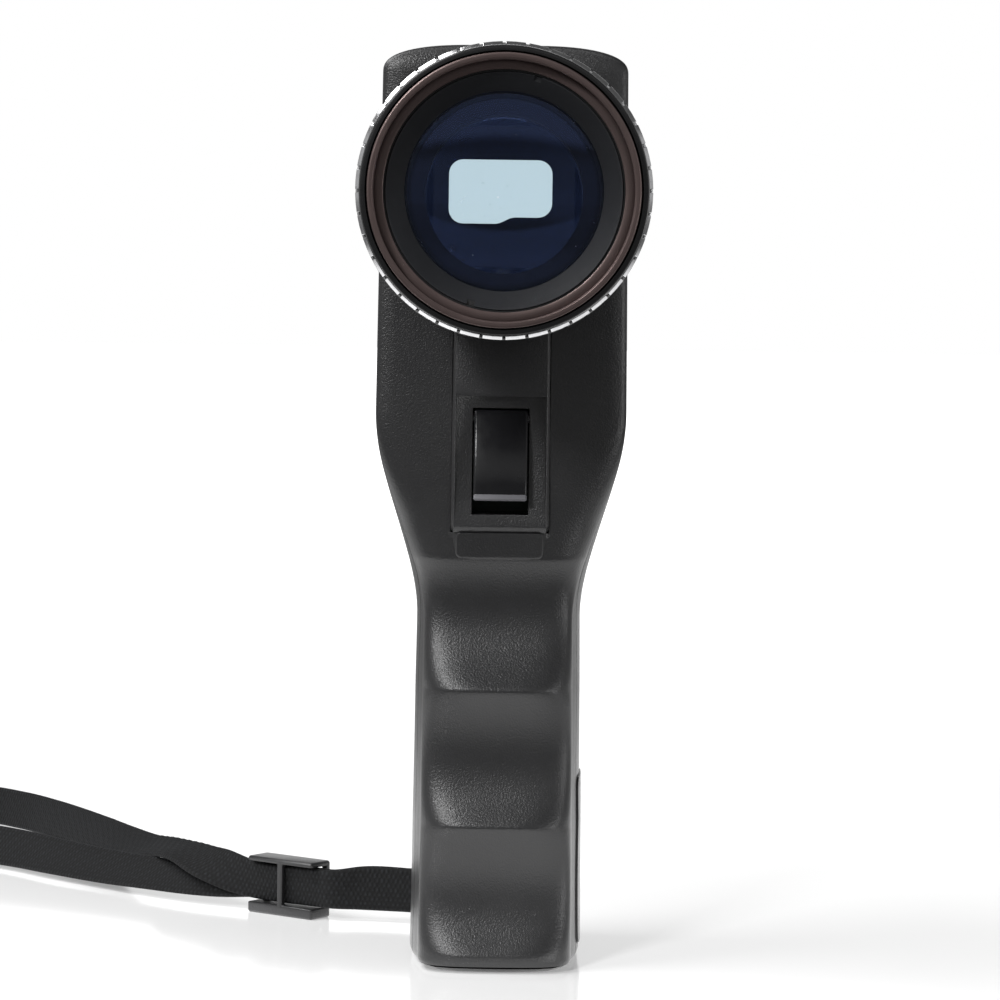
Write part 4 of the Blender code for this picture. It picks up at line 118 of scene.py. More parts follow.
def surfaceMaterial(name, look):
    # A worked surface: clouds of two near colours, a fine grain as bump, roughness that wanders, rubbed spots and
    # worn edges. Sizes are real millimetres. With turning, the grain is drawn out round the lens axis.
    metal = look.get("metal", 0.0)
    fixed = {"Metallic": metal} if metal else {"IOR": look.get("ior", 1.5)}
    if "veil" in look:
        fixed.update({"Emission Color": toLinear(look["veil"]), "Emission Strength": 1.0})
    material, add, shader, place = newMaterial(name, fixed)
    field = place
    if "turning" in look:
        centred = add("Mapping", {"Location": (0.0, 0.0, -lensZ)}, {"Vector": place})
        flat = add("VectorMath", {"operation": "MULTIPLY", 1: (1.0, 0.0, 1.0)}, {0: centred})
        reach = add("VectorMath", {"operation": "LENGTH"}, {0: flat}).outputs["Value"]
        depth = add("SeparateXYZ", None, {0: centred}).outputs["Y"]
        field = add("CombineXYZ", None, {"X": reach, "Y": depth})
    cloud = add("TexNoise", {"Scale": 1.0 / (look["cloud"] * mm), "Detail": 3.0}, {"Vector": place})
    fine = {"Scale": 1.0 / (look["grain"] * mm), "Detail": 2.0, "Roughness": 0.6}
    grain = add("TexNoise", fine, {"Vector": field})
    colour = add("Mix", twoTones(look["dark"], look["light"]), {0: cloud}).outputs[2]
    layers = []
    if "rub" in look:
        spotty = {"Scale": 1.0 / (look["rubSize"] * mm), "Detail": 5.0, "Roughness": 0.7}
        spots = add("TexNoise", spotty, {"Vector": place})
        layers.append((spots, *look.get("rubSpan", (0.66, 0.76)), look["rub"], look["rubbed"]))
    if "edgeWear" in look:
        edges = add("NewGeometry").outputs["Pointiness"]
        layers.append((edges, *look["edgeSpan"], look["edgeWear"], look["worn"]))
    for source, low, high, full, paint in layers:
        amount = add("MapRange", {1: low, 2: high, 4: full}, {"Value": source})
        colour = add("Mix", twoTones(paint, paint), {0: amount, 6: colour}).outputs[2]
    wander = add("TexNoise", {"Scale": 1.0 / (look["cloud"] * mm * wanderShare), "Detail": 4.0}, {"Vector": place})
    sheen = add("MapRange", {3: look["rough"][0], 4: look["rough"][1]}, {"Value": wander})
    bump = add("Bump", {"Strength": 1.0, "Distance": look["bump"] * mm}, {"Height": grain})
    wire(shader, {"Base Color": colour, "Roughness": sheen, "Normal": bump})
    return material


# Materials

# ABS moulded in a spark-eroded tool: soft black with a fine even grain. The real grain is 0.25 mm, drawn coarser.
mouldedAbs = surfaceMaterial("mouldedAbs", {
    "dark": "#1f1f20", "light": "#262627", "cloud": 14.0, "grain": 0.31, "bump": 0.065,
    "rough": (0.28, 0.37), "rub": 0.3, "rubSize": 1.3, "rubbed": "#3a3a3c", "rubSpan": (0.7, 0.8),
    "edgeWear": 0.5, "edgeSpan": (0.56, 0.66), "worn": "#343436",
})
# Polished ABS: near mirror black with faint handling haze.
polishedAbs = surfaceMaterial("polishedAbs", {
    "dark": "#121214", "light": "#171719", "cloud": 6.0, "grain": 1.8, "bump": 0.004, "ior": 1.38,
    "rough": (0.12, 0.24), "rub": 0.25, "rubSize": 0.9, "rubbed": "#303033",
})
# The same plastic painted a dull light grey on the trigger's toe: a painted highlight for the bright band along its
# foot.
rubbedAbs = surfaceMaterial("rubbedAbs", {
    "dark": "#56565a", "light": "#646468", "cloud": 1.2, "grain": 0.3, "bump": 0.01, "rough": (0.4, 0.55),
})
# Matt black ABS of the inner mouldings: dull, slightly grey, so depth falls away quickly.
innerAbs = surfaceMaterial("innerAbs", {
    "dark": "#141415", "light": "#1b1b1c", "cloud": 9.0, "grain": 0.5, "bump": 0.03, "rough": (0.6, 0.75),
})
# Lamp-black paint inside the barrel: no sheen at all, so that the glass looks deep. A faint even glow stands for
# the light that scatters in the old glass.
lampBlack = surfaceMaterial("lampBlack", {
    "dark": "#0c0c0d", "light": "#101011", "cloud": 3.0, "grain": 0.4, "bump": 0.002, "rough": (0.85, 0.95),
    "ior": 1.15, "veil": "#121317",
})
# Black anodised turned aluminium: deep black gloss with fine turning lines and small nicks to bare metal.
blackAnodised = surfaceMaterial("blackAnodised", {
    "dark": "#111112", "light": "#171718", "cloud": 8.0, "grain": 0.18, "bump": 0.006, "turning": True,
    "rough": (0.16, 0.28), "ior": 1.42, "rub": 0.8, "rubSize": 0.22, "rubbed": "#5c5a58", "rubSpan": (0.7, 0.76),
})
# Bevels cut bright through the anodising at the ends of the ribs: bare aluminium that mirrors its surroundings.
brightCut = surfaceMaterial("brightCut", {
    "dark": "#b4b4b6", "light": "#d2d2d3", "cloud": 1.0, "grain": 0.15, "bump": 0.003, "turning": True,
    "rough": (0.12, 0.24), "metal": 1.0, "rub": 0.6, "rubSize": 0.3, "rubbed": "#4a4a4c", "rubSpan": (0.6, 0.7),
})
# Old black anodising that has faded towards brown: warm dark metal sheen.
brownAnodised = surfaceMaterial("brownAnodised", {
    "dark": "#564a48", "light": "#665856", "cloud": 10.0, "grain": 0.16, "bump": 0.007, "turning": True,
    "rough": (0.26, 0.38), "metal": 0.75, "rub": 0.9, "rubSize": 0.2, "rubbed": "#b8aaa6", "rubSpan": (0.68, 0.73),
})
# Flat black enamel on the lens funnel: almost no sheen, slightly dusty.
flatEnamel = surfaceMaterial("flatEnamel", {
    "dark": "#1e1f22", "light": "#252629", "cloud": 5.0, "grain": 0.2, "bump": 0.02, "turning": True, "ior": 1.33,
    "rough": (0.52, 0.66), "rub": 0.7, "rubSize": 0.18, "rubbed": "#77787c", "rubSpan": (0.7, 0.75),
})
# Ground steel pins and springs: bright with a fine directional haze.
groundSteel = surfaceMaterial("groundSteel", {
    "dark": "#8d8d90", "light": "#a9a9ac", "cloud": 2.0, "grain": 0.12, "bump": 0.004, "rough": (0.22, 0.38),
    "metal": 1.0, "rub": 0.5, "rubSize": 0.6, "rubbed": "#6a6864",
})
# Nickel plate on contacts and the sensor can: warm bright metal, slightly spotted.
nickelPlate = surfaceMaterial("nickelPlate", {
    "dark": "#a8a196", "light": "#bdb6ab", "cloud": 3.0, "grain": 0.3, "bump": 0.003, "rough": (0.15, 0.3),
    "metal": 1.0, "rub": 0.5, "rubSize": 0.8, "rubbed": "#7f786c",
})
# Oil-blackened steel screws and lug: dark satin metal, brighter where a driver or pin has rubbed.
blackenedSteel = surfaceMaterial("blackenedSteel", {
    "dark": "#3a3a3b", "light": "#4b4b4c", "cloud": 1.5, "grain": 0.15, "bump": 0.008, "rough": (0.28, 0.45),
    "metal": 0.75, "rub": 0.7, "rubSize": 0.4, "rubbed": "#6b6966", "rubSpan": (0.6, 0.72),
})
# Green glass-fibre laminate: solder mask with the weave of the cloth just showing.
glassFibre = surfaceMaterial("glassFibre", {
    "dark": "#133d25", "light": "#1b4c30", "cloud": 1.2, "grain": 0.4, "bump": 0.01, "rough": (0.3, 0.45),
})
# Soft black rubber: dull, faintly grey with bloom.
softRubber = surfaceMaterial("softRubber", {
    "dark": "#161616", "light": "#1f1f1f", "cloud": 4.0, "grain": 0.3, "bump": 0.03, "rough": (0.72, 0.88),
    "rub": 0.35, "rubSize": 2.0, "rubbed": "#2f2f2f",
})
# Shrink sleeve of a plain grey cell: smooth satin film.
cellSleeve = surfaceMaterial("cellSleeve", {
    "dark": "#7c7e82", "light": "#8a8c90", "cloud": 5.0, "grain": 0.8, "bump": 0.004, "rough": (0.25, 0.4),
})
# Dark red acrylic over the digits.
redAcrylic = surfaceMaterial("redAcrylic", {
    "dark": "#4a0c0c", "light": "#5a1010", "cloud": 2.0, "grain": 1.0, "bump": 0.002, "rough": (0.06, 0.14),
})
# Enamel paint wiped into engraved figures: off-white, a little chalky.
figureEnamel = surfaceMaterial("figureEnamel", {
    "dark": "#c9c8c2", "light": "#dcdbd5", "cloud": 0.6, "grain": 0.1, "bump": 0.004, "rough": (0.5, 0.65),
    "rub": 0.5, "rubSize": 0.3, "rubbed": "#8d8c88",
})


def glassMaterial(name, look):
    # Polished optical glass with a tinted reflection from its coating, and specks of dust in the roughness.
    fixed = {
        "Base Color": toLinear(look["body"]), "IOR": look["ior"], "Transmission Weight": 1.0,
        "Specular Tint": toLinear(look["coating"]), "Specular IOR Level": look["level"],
    }
    material, add, shader, place = newMaterial(name, fixed)
    dust = add("TexNoise", {"Scale": 1.0 / (look["dust"] * mm), "Detail": 6.0}, {"Vector": place})
    haze = add("MapRange", {1: look["specks"][0], 2: look["specks"][1], 4: look["speckRough"]}, {"Value": dust})
    wire(shader, {"Roughness": haze})
    return material


# Crown glass with a blue magnesium-fluoride bloom.
bloomedGlass = glassMaterial("bloomedGlass", {
    "body": "#dfe6f5", "ior": 1.5, "coating": "#869ddc", "level": 0.5, "dust": 1.2, "speckRough": 0.4,
    "specks": (0.735, 0.76),
})
# Plain polished crown glass.
crownGlass = glassMaterial("crownGlass", {
    "body": "#eef4f4", "ior": 1.5, "coating": "#8499d8", "level": 0.4, "dust": 1.5, "speckRough": 0.4,
    "specks": (0.735, 0.76),
})


def screenMaterial(look):
    # Frosted finder screen: an even pale glow painted in as emission, for the light that reaches it from behind
    # through the eyepiece, with dust specks.
    fixed = {"Roughness": 0.6, "Base Color": toLinear(look["unlit"]), "Emission Strength": look["strength"]}
    material, add, shader, place = newMaterial("frostedScreen", fixed)
    fine = {"Scale": 1.0 / (look["speck"] * mm), "Detail": 6.0, "Roughness": 0.7}
    specks = {1: look["specks"][0], 2: look["specks"][1]}
    share = add("MapRange", specks, {"Value": add("TexNoise", fine, {"Vector": place})})
    glow = add("Mix", twoTones(look["glow"], look["dull"]), {0: share})
    wire(shader, {"Emission Color": glow.outputs[2]})
    return material


# The screen's glow is painted light: emission, with no lamp behind it.
frostedScreen = screenMaterial({
    "unlit": "#20282a", "glow": "#cfdcdd", "dull": "#8fa0a4", "speck": 0.9, "strength": 1.3, "specks": (0.64, 0.7),
})


def webbingMaterial(look):
    # Cotton webbing: dark yarn, paler fibre ends on the high points of the weave, near-black painted shade in its
    # hollows, and a soft sheen at its edge.
    fixed = {
        "Sheen Weight": look["sheen"], "Sheen Roughness": 0.5, "Sheen Tint": toLinear(look["fuzz"]), "IOR": 1.4,
    }
    material, add, shader, place = newMaterial("cottonWebbing", fixed)
    fine = {"Scale": 1.0 / (look["fibre"] * mm), "Detail": 4.0, "Roughness": 0.7}
    fibre = add("TexNoise", fine, {"Vector": place})
    high = add("Attribute", {"attribute_name": "weave"}).outputs["Fac"]
    lift = add("Math", {"operation": "MULTIPLY"}, {0: high, 1: fibre})
    share = add("MapRange", {1: look["shows"][0], 2: look["shows"][1]}, {"Value": lift})
    colour = add("Mix", twoTones(look["deep"], look["yarn"]), {0: share})
    rough = add("MapRange", {3: look["rough"][0], 4: look["rough"][1]}, {"Value": fibre})
    bump = add("Bump", {"Strength": 0.8, "Distance": look["bump"] * mm}, {"Height": fibre})
    wire(shader, {"Base Color": colour.outputs[2], "Roughness": rough, "Normal": bump})
    return material


# Deep is the near-black painted shade in the weave's hollows.
cottonWebbing = webbingMaterial({
    "deep": "#060607", "yarn": "#26282b", "fuzz": "#8a8d92", "sheen": 0.1, "fibre": 0.22, "bump": 0.05,
    "shows": (0.2, 0.58), "rough": (0.75, 0.95),
})
print("materials made")


# Grids

def gridFaces(rows, columns, closeRows):
    # Quads between neighbouring points of a grid, numbered row by row.
    row = np.arange(rows if closeRows else rows - 1)[:, None]
    column = np.arange(columns)
    nextRow, nextColumn = (row + 1) % rows, (column + 1) % columns
    row, nextRow = row * columns, nextRow * columns
    corners = (row + column, row + nextColumn, nextRow + nextColumn, nextRow + column)
    return np.stack(np.broadcast_arrays(*corners), -1).reshape(-1, 4)


def shade(mesh, sharp):
    # Smooth, but for edges that turn by more than the angle.
    mesh.shade_smooth()
    mesh.set_sharp_from_angle(angle=np.radians(sharp))


def meshPiece(name, points, faces, material, body, sharp=35.0, merge=False):
    # A mesh from points and faces, its faces turned outwards by the sign of the enclosed volume.
    mesh = bpy.data.meshes.new(name)
    mesh.from_pydata(points.reshape(-1, 3).tolist(), [], faces)
    work = bmesh.new()
    work.from_mesh(mesh)
    if merge:
        bmesh.ops.remove_doubles(work, verts=work.verts[:], dist=1e-7)
    if work.calc_volume(signed=True) < 0:
        bmesh.ops.reverse_faces(work, faces=work.faces[:])
    work.to_mesh(mesh)
    work.free()
    mesh.materials.append(material)
    shade(mesh, sharp)
    piece = addObject(name, mesh)
    if body:
        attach(piece, body)
    return piece


def standsFor(piece, node):
    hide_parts(node)
    return piece


def paintFaces(piece, material, chosen):
    # A second material on the chosen faces. Cutting tools may have left slots of their own before it.
    piece.data.materials.append(material)
    index = len(piece.data.materials) - 1
    piece.data.polygons.foreach_set("material_index", np.reshape(chosen, -1).astype(np.int32) * index)


def gridPiece(name, points, material, body, closeRows=False, caps=False, sharp=35.0, merge=False):
    # A piece from a grid of points whose columns close into rings. Its rows may close too, or end in caps.
    rows, columns = points.shape[:2]
    faces = gridFaces(rows, columns, closeRows).tolist()
    if caps:
        faces.append(list(range(columns))[::-1])
        faces.append(list(range((rows - 1) * columns, rows * columns)))
    return meshPiece(name, points, faces, material, body, sharp, merge)


def filleted(corners, steps=4):
    # A closed (radius, y) outline in metres from corners in millimetres. Each corner is (radius, y, round), and its
    # arc is the quadratic curve from one tangent point to the other with the corner as its middle control point.
    corners = np.array([(*corner, 0.0)[:3] for corner in corners], float) * mm
    places, rounds = corners[:, :2], corners[:, 2]
    share = np.linspace(0.0, 1.0, steps + 1)[:, None]
    out = []
    for index, (here, size) in enumerate(zip(places, rounds)):
        if size == 0:
            out.append(here[None])
            continue
        ends = []
        for other in (places[index - 1], places[(index + 1) % len(places)]):
            run = other - here
            length = np.linalg.norm(run)
            ends.append(here + run / length * min(size, 0.49 * length))
        out.append(ends[0] * (1 - share) ** 2 + here * 2 * share * (1 - share) + ends[1] * share ** 2)
    return np.vstack(out)


def aboutLens(radius, angle, y, centre=(0.0, 0.0, lensZ)):
    # Points about the lens axis, or one beside it: x = r sin a, z = r cos a.
    x = radius * np.sin(angle)
    return np.stack([x, np.broadcast_to(y, x.shape), radius * np.cos(angle)], -1) + centre


def spun(profile, segments, centre=(0.0, 0.0, lensZ)):
    angle = np.linspace(0.0, 2 * np.pi, segments, endpoint=False)
    return aboutLens(profile[:, :1], angle, profile[:, 1:], centre)


def vectors(items, key):
    # One three-part property of many mesh items, as rows.
    flat = np.empty(len(items) * 3)
    items.foreach_get(key, flat)
    return flat.reshape(-1, 3)


softening = {"weld": 2e-6, "flat": 1.0, "corner": 30.0, "sharp": 35.0}


def softCopy(node, material, width, segments, name, body="body", reshape=None):
    # A merged copy of a CAD piece, its flat facets joined and its edges bevelled. Width is in millimetres.
    mesh = nodes[node].data.copy()
    work = bmesh.new()
    work.from_mesh(mesh)
    bmesh.ops.remove_doubles(work, verts=work.verts[:], dist=softening["weld"])
    flat = np.radians(softening["flat"])
    bmesh.ops.dissolve_limit(work, angle_limit=flat, verts=work.verts[:], edges=work.edges[:])
    work.to_mesh(mesh)
    work.free()
    if reshape:
        mesh.vertices.foreach_set("co", reshape(vectors(mesh.vertices, "co")).reshape(-1))
    mesh.materials.clear()
    mesh.materials.append(material)
    piece = addObject(name, mesh)
    bevel = piece.modifiers.new("edges", "BEVEL")
    bevel.width = width * mm
    bevel.segments = segments
    bevel.limit_method = "ANGLE"
    bevel.angle_limit = np.radians(softening["corner"])
    bevel.use_clamp_overlap = True
    applyAll(piece)
    shade(piece.data, softening["sharp"])
    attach(piece, body)
    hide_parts(node)
    return piece


def applyAll(piece):
    # The mesh with every modifier worked in, and none left live.
    made = bpy.data.meshes.new_from_object(piece.evaluated_get(bpy.context.evaluated_depsgraph_get()))
    piece.modifiers.clear()
    old, piece.data = piece.data, made
    bpy.data.meshes.remove(old)


def cut(piece, tool, operation="DIFFERENCE", solver="MANIFOLD"):
    modifier = piece.modifiers.new("cut", "BOOLEAN")
    modifier.operation = operation
    modifier.solver = solver
    modifier.object = tool
    applyAll(piece)
    bpy.data.objects.remove(tool)


def cuttingTool(points):
    return gridPiece("tool", points, mouldedAbs, None, caps=True)


def toolBlock(low, high):
    # A plain block between two corners.
    low, high = np.array(low, float), np.array(high, float)
    pick = np.array([[x, y, z] for z in (0, 1) for x, y in ((0, 0), (1, 0), (1, 1), (0, 1))])
    points = low + (high - low) * pick
    return cuttingTool(points.reshape(2, 4, 3))


def toolRod(profile, centre, segments=48):
    # A cutting shape turned about an axis along Y through the centre, from an open (radius, y) outline.
    return cuttingTool(spun(np.array(profile, float), segments, centre))


# Wrist strap: flat woven webbing, out through the slider, round the free loop and home

strap = {
    "width": 0.0076, "inSlider": 0.0068, "thickness": 0.0011, "middle": 0.0059, "pin": (0.0, 0.0285),
    "sliderStart": (-0.031, 0.0356), "heading": (-0.8, 0.6), "sliderLength": 0.015, "sliderZ": 0.0056,
    "ribPitch": 0.00086, "yarnPitch": 0.00084, "relief": 0.00034, "step": 0.00017, "start": 0.0019,
    "apartAtPin": 0.00175, "apart": 0.0007, "approach": 0.002, "around": 40, "between": (0.35, 0.7),
    "even": 0.82, "uneven": 0.18, "rate": 2100.0, "shift": 2.4, "level": 0.35, "steepest": 0.96,
}
# The free loop: x, y and z in millimetres and the lean in degrees
loopRoute = (
    (-50.5, 49.2, 5.2, 24), (-61.5, 58, 4.1, 48), (-70.9, 66.7, 3.8, 46), (-82.6, 77.5, 4, 40),
    (-91.5, 86.5, 4.2, 30), (-102, 95, 4.3, 18), (-114.5, 104.5, 4.4, 8), (-124.5, 116, 4.4, 4),
    (-129, 129, 4.4, 0), (-126.5, 141, 4.4, -2), (-117.5, 148, 4.4, -4), (-106.5, 146.5, 4.4, -6),
    (-97, 137.5, 4.4, -8), (-89.1, 125.8, 4.4, -12), (-83, 115, 4.4, -16), (-77.4, 104.2, 4.4, -22),
    (-72.2, 93, 4.6, -36), (-67.3, 81, 5.6, -54), (-62.2, 69, 7.4, -68), (-56.8, 58, 8.3, -72),
    (-51.8, 50, 7.5, -50),
)


def strapRows():
    # Rows of x, y, z, lean and width along the whole webbing. Both strands leave the pin side by side.
    pin, sliderStart = np.array(strap["pin"]), np.array(strap["sliderStart"])
    far = np.linalg.norm(sliderStart - pin)
    heading, along = (sliderStart - pin) / far, np.array(strap["heading"])
    width, shared = strap["width"], []
    steps = [(distance, strap["apartAtPin"]) for distance in (0.0, strap["thickness"])]
    steps += [(share * far, strap["apart"]) for share in strap["between"]]
    for distance, offset in steps:
        shared.append((pin + heading * (strap["start"] + distance), heading, offset, strap["middle"], width))
    for distance in (-strap["approach"], 0.0, strap["sliderLength"]):
        place = sliderStart + along * distance
        shared.append((place, along, strap["apart"], strap["sliderZ"], strap["inSlider"]))
    out, home = [], []
    for place, way, offset, z, across in shared:
        side = np.array([way[1], -way[0]]) * offset
        out.append((*(place + side), z, 0.0, across))
        home.append((*(place - side), z, 0.0, across))
    loop = [(x * mm, y * mm, z * mm, lean, width) for x, y, z, lean in loopRoute]
    return np.array(out + loop + home[::-1], float)


def smoothRows(rows, spacing):
    # Hermite curve through the rows. The slope at each row is the mean of the two rates beside it, each
    # weighted by the other span.
    spans = np.linalg.norm(np.diff(rows[:, :3], axis=0), axis=1)
    rates = np.diff(rows, axis=0) / spans[:, None]
    ahead, behind = spans[1:, None], spans[:-1, None]
    slopes = np.vstack([rates[:1], (rates[:-1] * ahead + rates[1:] * behind) / (ahead + behind), rates[-1:]])
    counts = np.maximum(1, np.round(spans / spacing)).astype(int)
    which = np.repeat(np.arange(len(spans)), counts)
    t = np.concatenate([np.arange(count) / count for count in counts])[:, None]
    curve = rows[which] * (1 - 3 * t ** 2 + 2 * t ** 3) + rows[which + 1] * (3 * t ** 2 - 2 * t ** 3)
    leaving, arriving = slopes[which] * (t - 2 * t ** 2 + t ** 3), slopes[which + 1] * (t ** 3 - t ** 2)
    curve += spans[which, None] * (leaving + arriving)
    return np.vstack([curve, rows[-1:]])


def webbingGrid(rows):
    # A flattened tube round the row line. Seen across, the outline is a box with half-round edges. The weave lifts
    # it by |sin| of the distance along in every second yarn, and half a rib later in its neighbours.
    way = np.vstack([rows[1:, :2], rows[-1:, :2]]) - np.vstack([rows[:1, :2], rows[:-1, :2]])
    way /= np.linalg.norm(way, axis=1)[:, None]
    side = np.stack([way[:, 1], -way[:, 0], np.zeros(len(way))], 1)
    lean = np.radians(rows[:, 3:4])
    upward = np.array([0.0, 0.0, 1.0])
    up = side * np.sin(lean) + upward * np.cos(lean)
    face = side * np.cos(lean) - upward * np.sin(lean)
    length = np.concatenate([[0.0], np.cumsum(np.linalg.norm(np.diff(rows[:, :3], axis=0), axis=1))])
    half = strap["around"] // 2
    thick = strap["thickness"] / 2 - strap["relief"] / 2
    across = np.concatenate([np.linspace(-1, 1, half), np.linspace(1, -1, half)])
    outward = np.concatenate([np.ones(half), -np.ones(half)])
    width = rows[:, 4:5] / 2
    edge = np.clip((np.abs(across)[None, :] * width - (width - thick)) / thick, 0.0, 1.0)
    rise = np.sqrt(1.0 - np.minimum(edge, strap["steepest"]) ** 2)
    yarn = (across[None, :] * width + width) / strap["yarnPitch"]
    number = np.floor(yarn)
    ribs = np.abs(np.sin(np.pi * length[:, None] / strap["ribPitch"] + np.pi / 2 * (number % 2)))
    wander = strap["even"] + strap["uneven"] * np.sin(length[:, None] * strap["rate"] + number * strap["shift"])
    weave = ribs * np.sqrt(np.abs(np.sin(np.pi * yarn))) * wander
    offset = outward[None, :] * (thick * rise + strap["relief"] * (weave - strap["level"]) * rise)
    points = rows[:, None, :3] + up[:, None] * (across * width)[..., None] + face[:, None] * offset[..., None]
    return points, weave, length[-1]


def wovenPiece(name, points, weave, node, sharp):
    # A piece of webbing. The weave's height goes with its points, for the material, which paints shade into the
    # weave's hollows.
    piece = gridPiece(name, points, cottonWebbing, "body", caps=True, sharp=sharp)
    layer = piece.data.attributes.new("weave", "FLOAT", "POINT")
    layer.data.foreach_set("value", weave.reshape(-1).astype(np.float32))
    return standsFor(piece, node)


strapLine = smoothRows(strapRows(), strap["step"])
strapGrid, strapWeave, strapLength = webbingGrid(strapLine)
strapPiece = wovenPiece("wristStrapWebbing", strapGrid, strapWeave, "wrist_strap", 80.0)
sliderPiece = softCopy("strap_slider", mouldedAbs, 0.35, 4, "strap_sliderSoft")
print("strap made,", round(strapLength * 1000), "mm of webbing")


# The webbing's bend round the pin

def pinLoop(bend):
    # A strip bent round the pin: half a circle and two straight tails, with the same weave across it.
    pin = np.array(strap["pin"])
    heading = np.array(strap["sliderStart"]) - pin
    heading /= np.linalg.norm(heading)
    side = np.array([heading[1], -heading[0]])
    angle = np.linspace(0.0, np.pi, 60)[:, None]
    ways = np.vstack([side, side * np.cos(angle) - heading * np.sin(angle), -side])
    shift = np.zeros_like(ways)
    shift[[0, -1]] = heading * bend["tail"]
    height = strap["middle"] + strap["width"] * np.linspace(-0.5, 0.5, bend["rows"])
    second = np.floor((height - height[0]) / strap["yarnPitch"]) % 2
    ribs = np.abs(np.sin(np.pi * np.arange(len(ways))[:, None] / bend["perRib"] + np.pi / 2 * second))

    def layer(radius):
        flat = pin + shift[:, None] + ways[:, None] * radius[..., None]
        return np.concatenate([flat, np.broadcast_to(height[None, :, None], (*flat.shape[:2], 1))], -1)

    outer, inner = layer(bend["outer"] + bend["relief"] * ribs), layer(np.full_like(ribs, bend["inner"]))
    ring, weave = np.concatenate([outer, inner[:, ::-1]], 1), np.concatenate([ribs, ribs[:, ::-1]], 1)
    wovenPiece("pinLoopWebbing", ring, weave, "strap_pin_loop", 60.0)


pinLoop({"outer": 0.00218, "inner": 0.00125, "relief": 0.0001, "tail": 0.0016, "rows": 40, "perRib": 5})


# Outer form of the mouldings

form = {
    "ridges": (0.0028, 0.0242, 0.0468, 0.0686), "shoulder": (0.0578, 0.0928), "stripBottom": 0.0728,
    "total": 0.1525, "boxHalf": 0.0206, "topHalf": 0.02, "foot": 0.0143, "waist": 0.0138, "lean": 1.12,
    "footRound": 0.0022, "arch": 0.0046, "topRound": 0.0014, "gripFront": -0.017, "boxFront": -0.015,
    "gripRear": 0.024, "boxRear": 0.043, "groove": 0.0032, "ridgeRound": 0.07, "swell": 0.0018,
    "split": 0.08405, "underside": 0.0863, "undersideRound": 0.0045, "sideTaper": 0.0015, "boxCorner": 0.0022,
    "gripCorner": 0.007, "neckCorner": 0.0085, "rearCorner": 0.009, "boxRearCorner": 0.004,
    "widestShare": 0.48, "rearShare": 0.27, "crown": 0.0005, "wall": 0.002, "gap": 0.0003,
    "shellBottom": 0.0011, "roofLeast": 0.3, "roofBend": (2.6, 0.45), "gripPowers": (3.3, 6.0),
    "neckPowers": (4.8, 9.0), "straight": 0.1, "cavityFoot": (-0.002, 0.0022, 0.0234), "bunching": (0.55, 0.45),
}


def ease(share):
    share = np.clip(share, 0.0, 1.0)
    return share * share * (3.0 - 2.0 * share)


def mix(first, second, share):
    return first + (second - first) * share


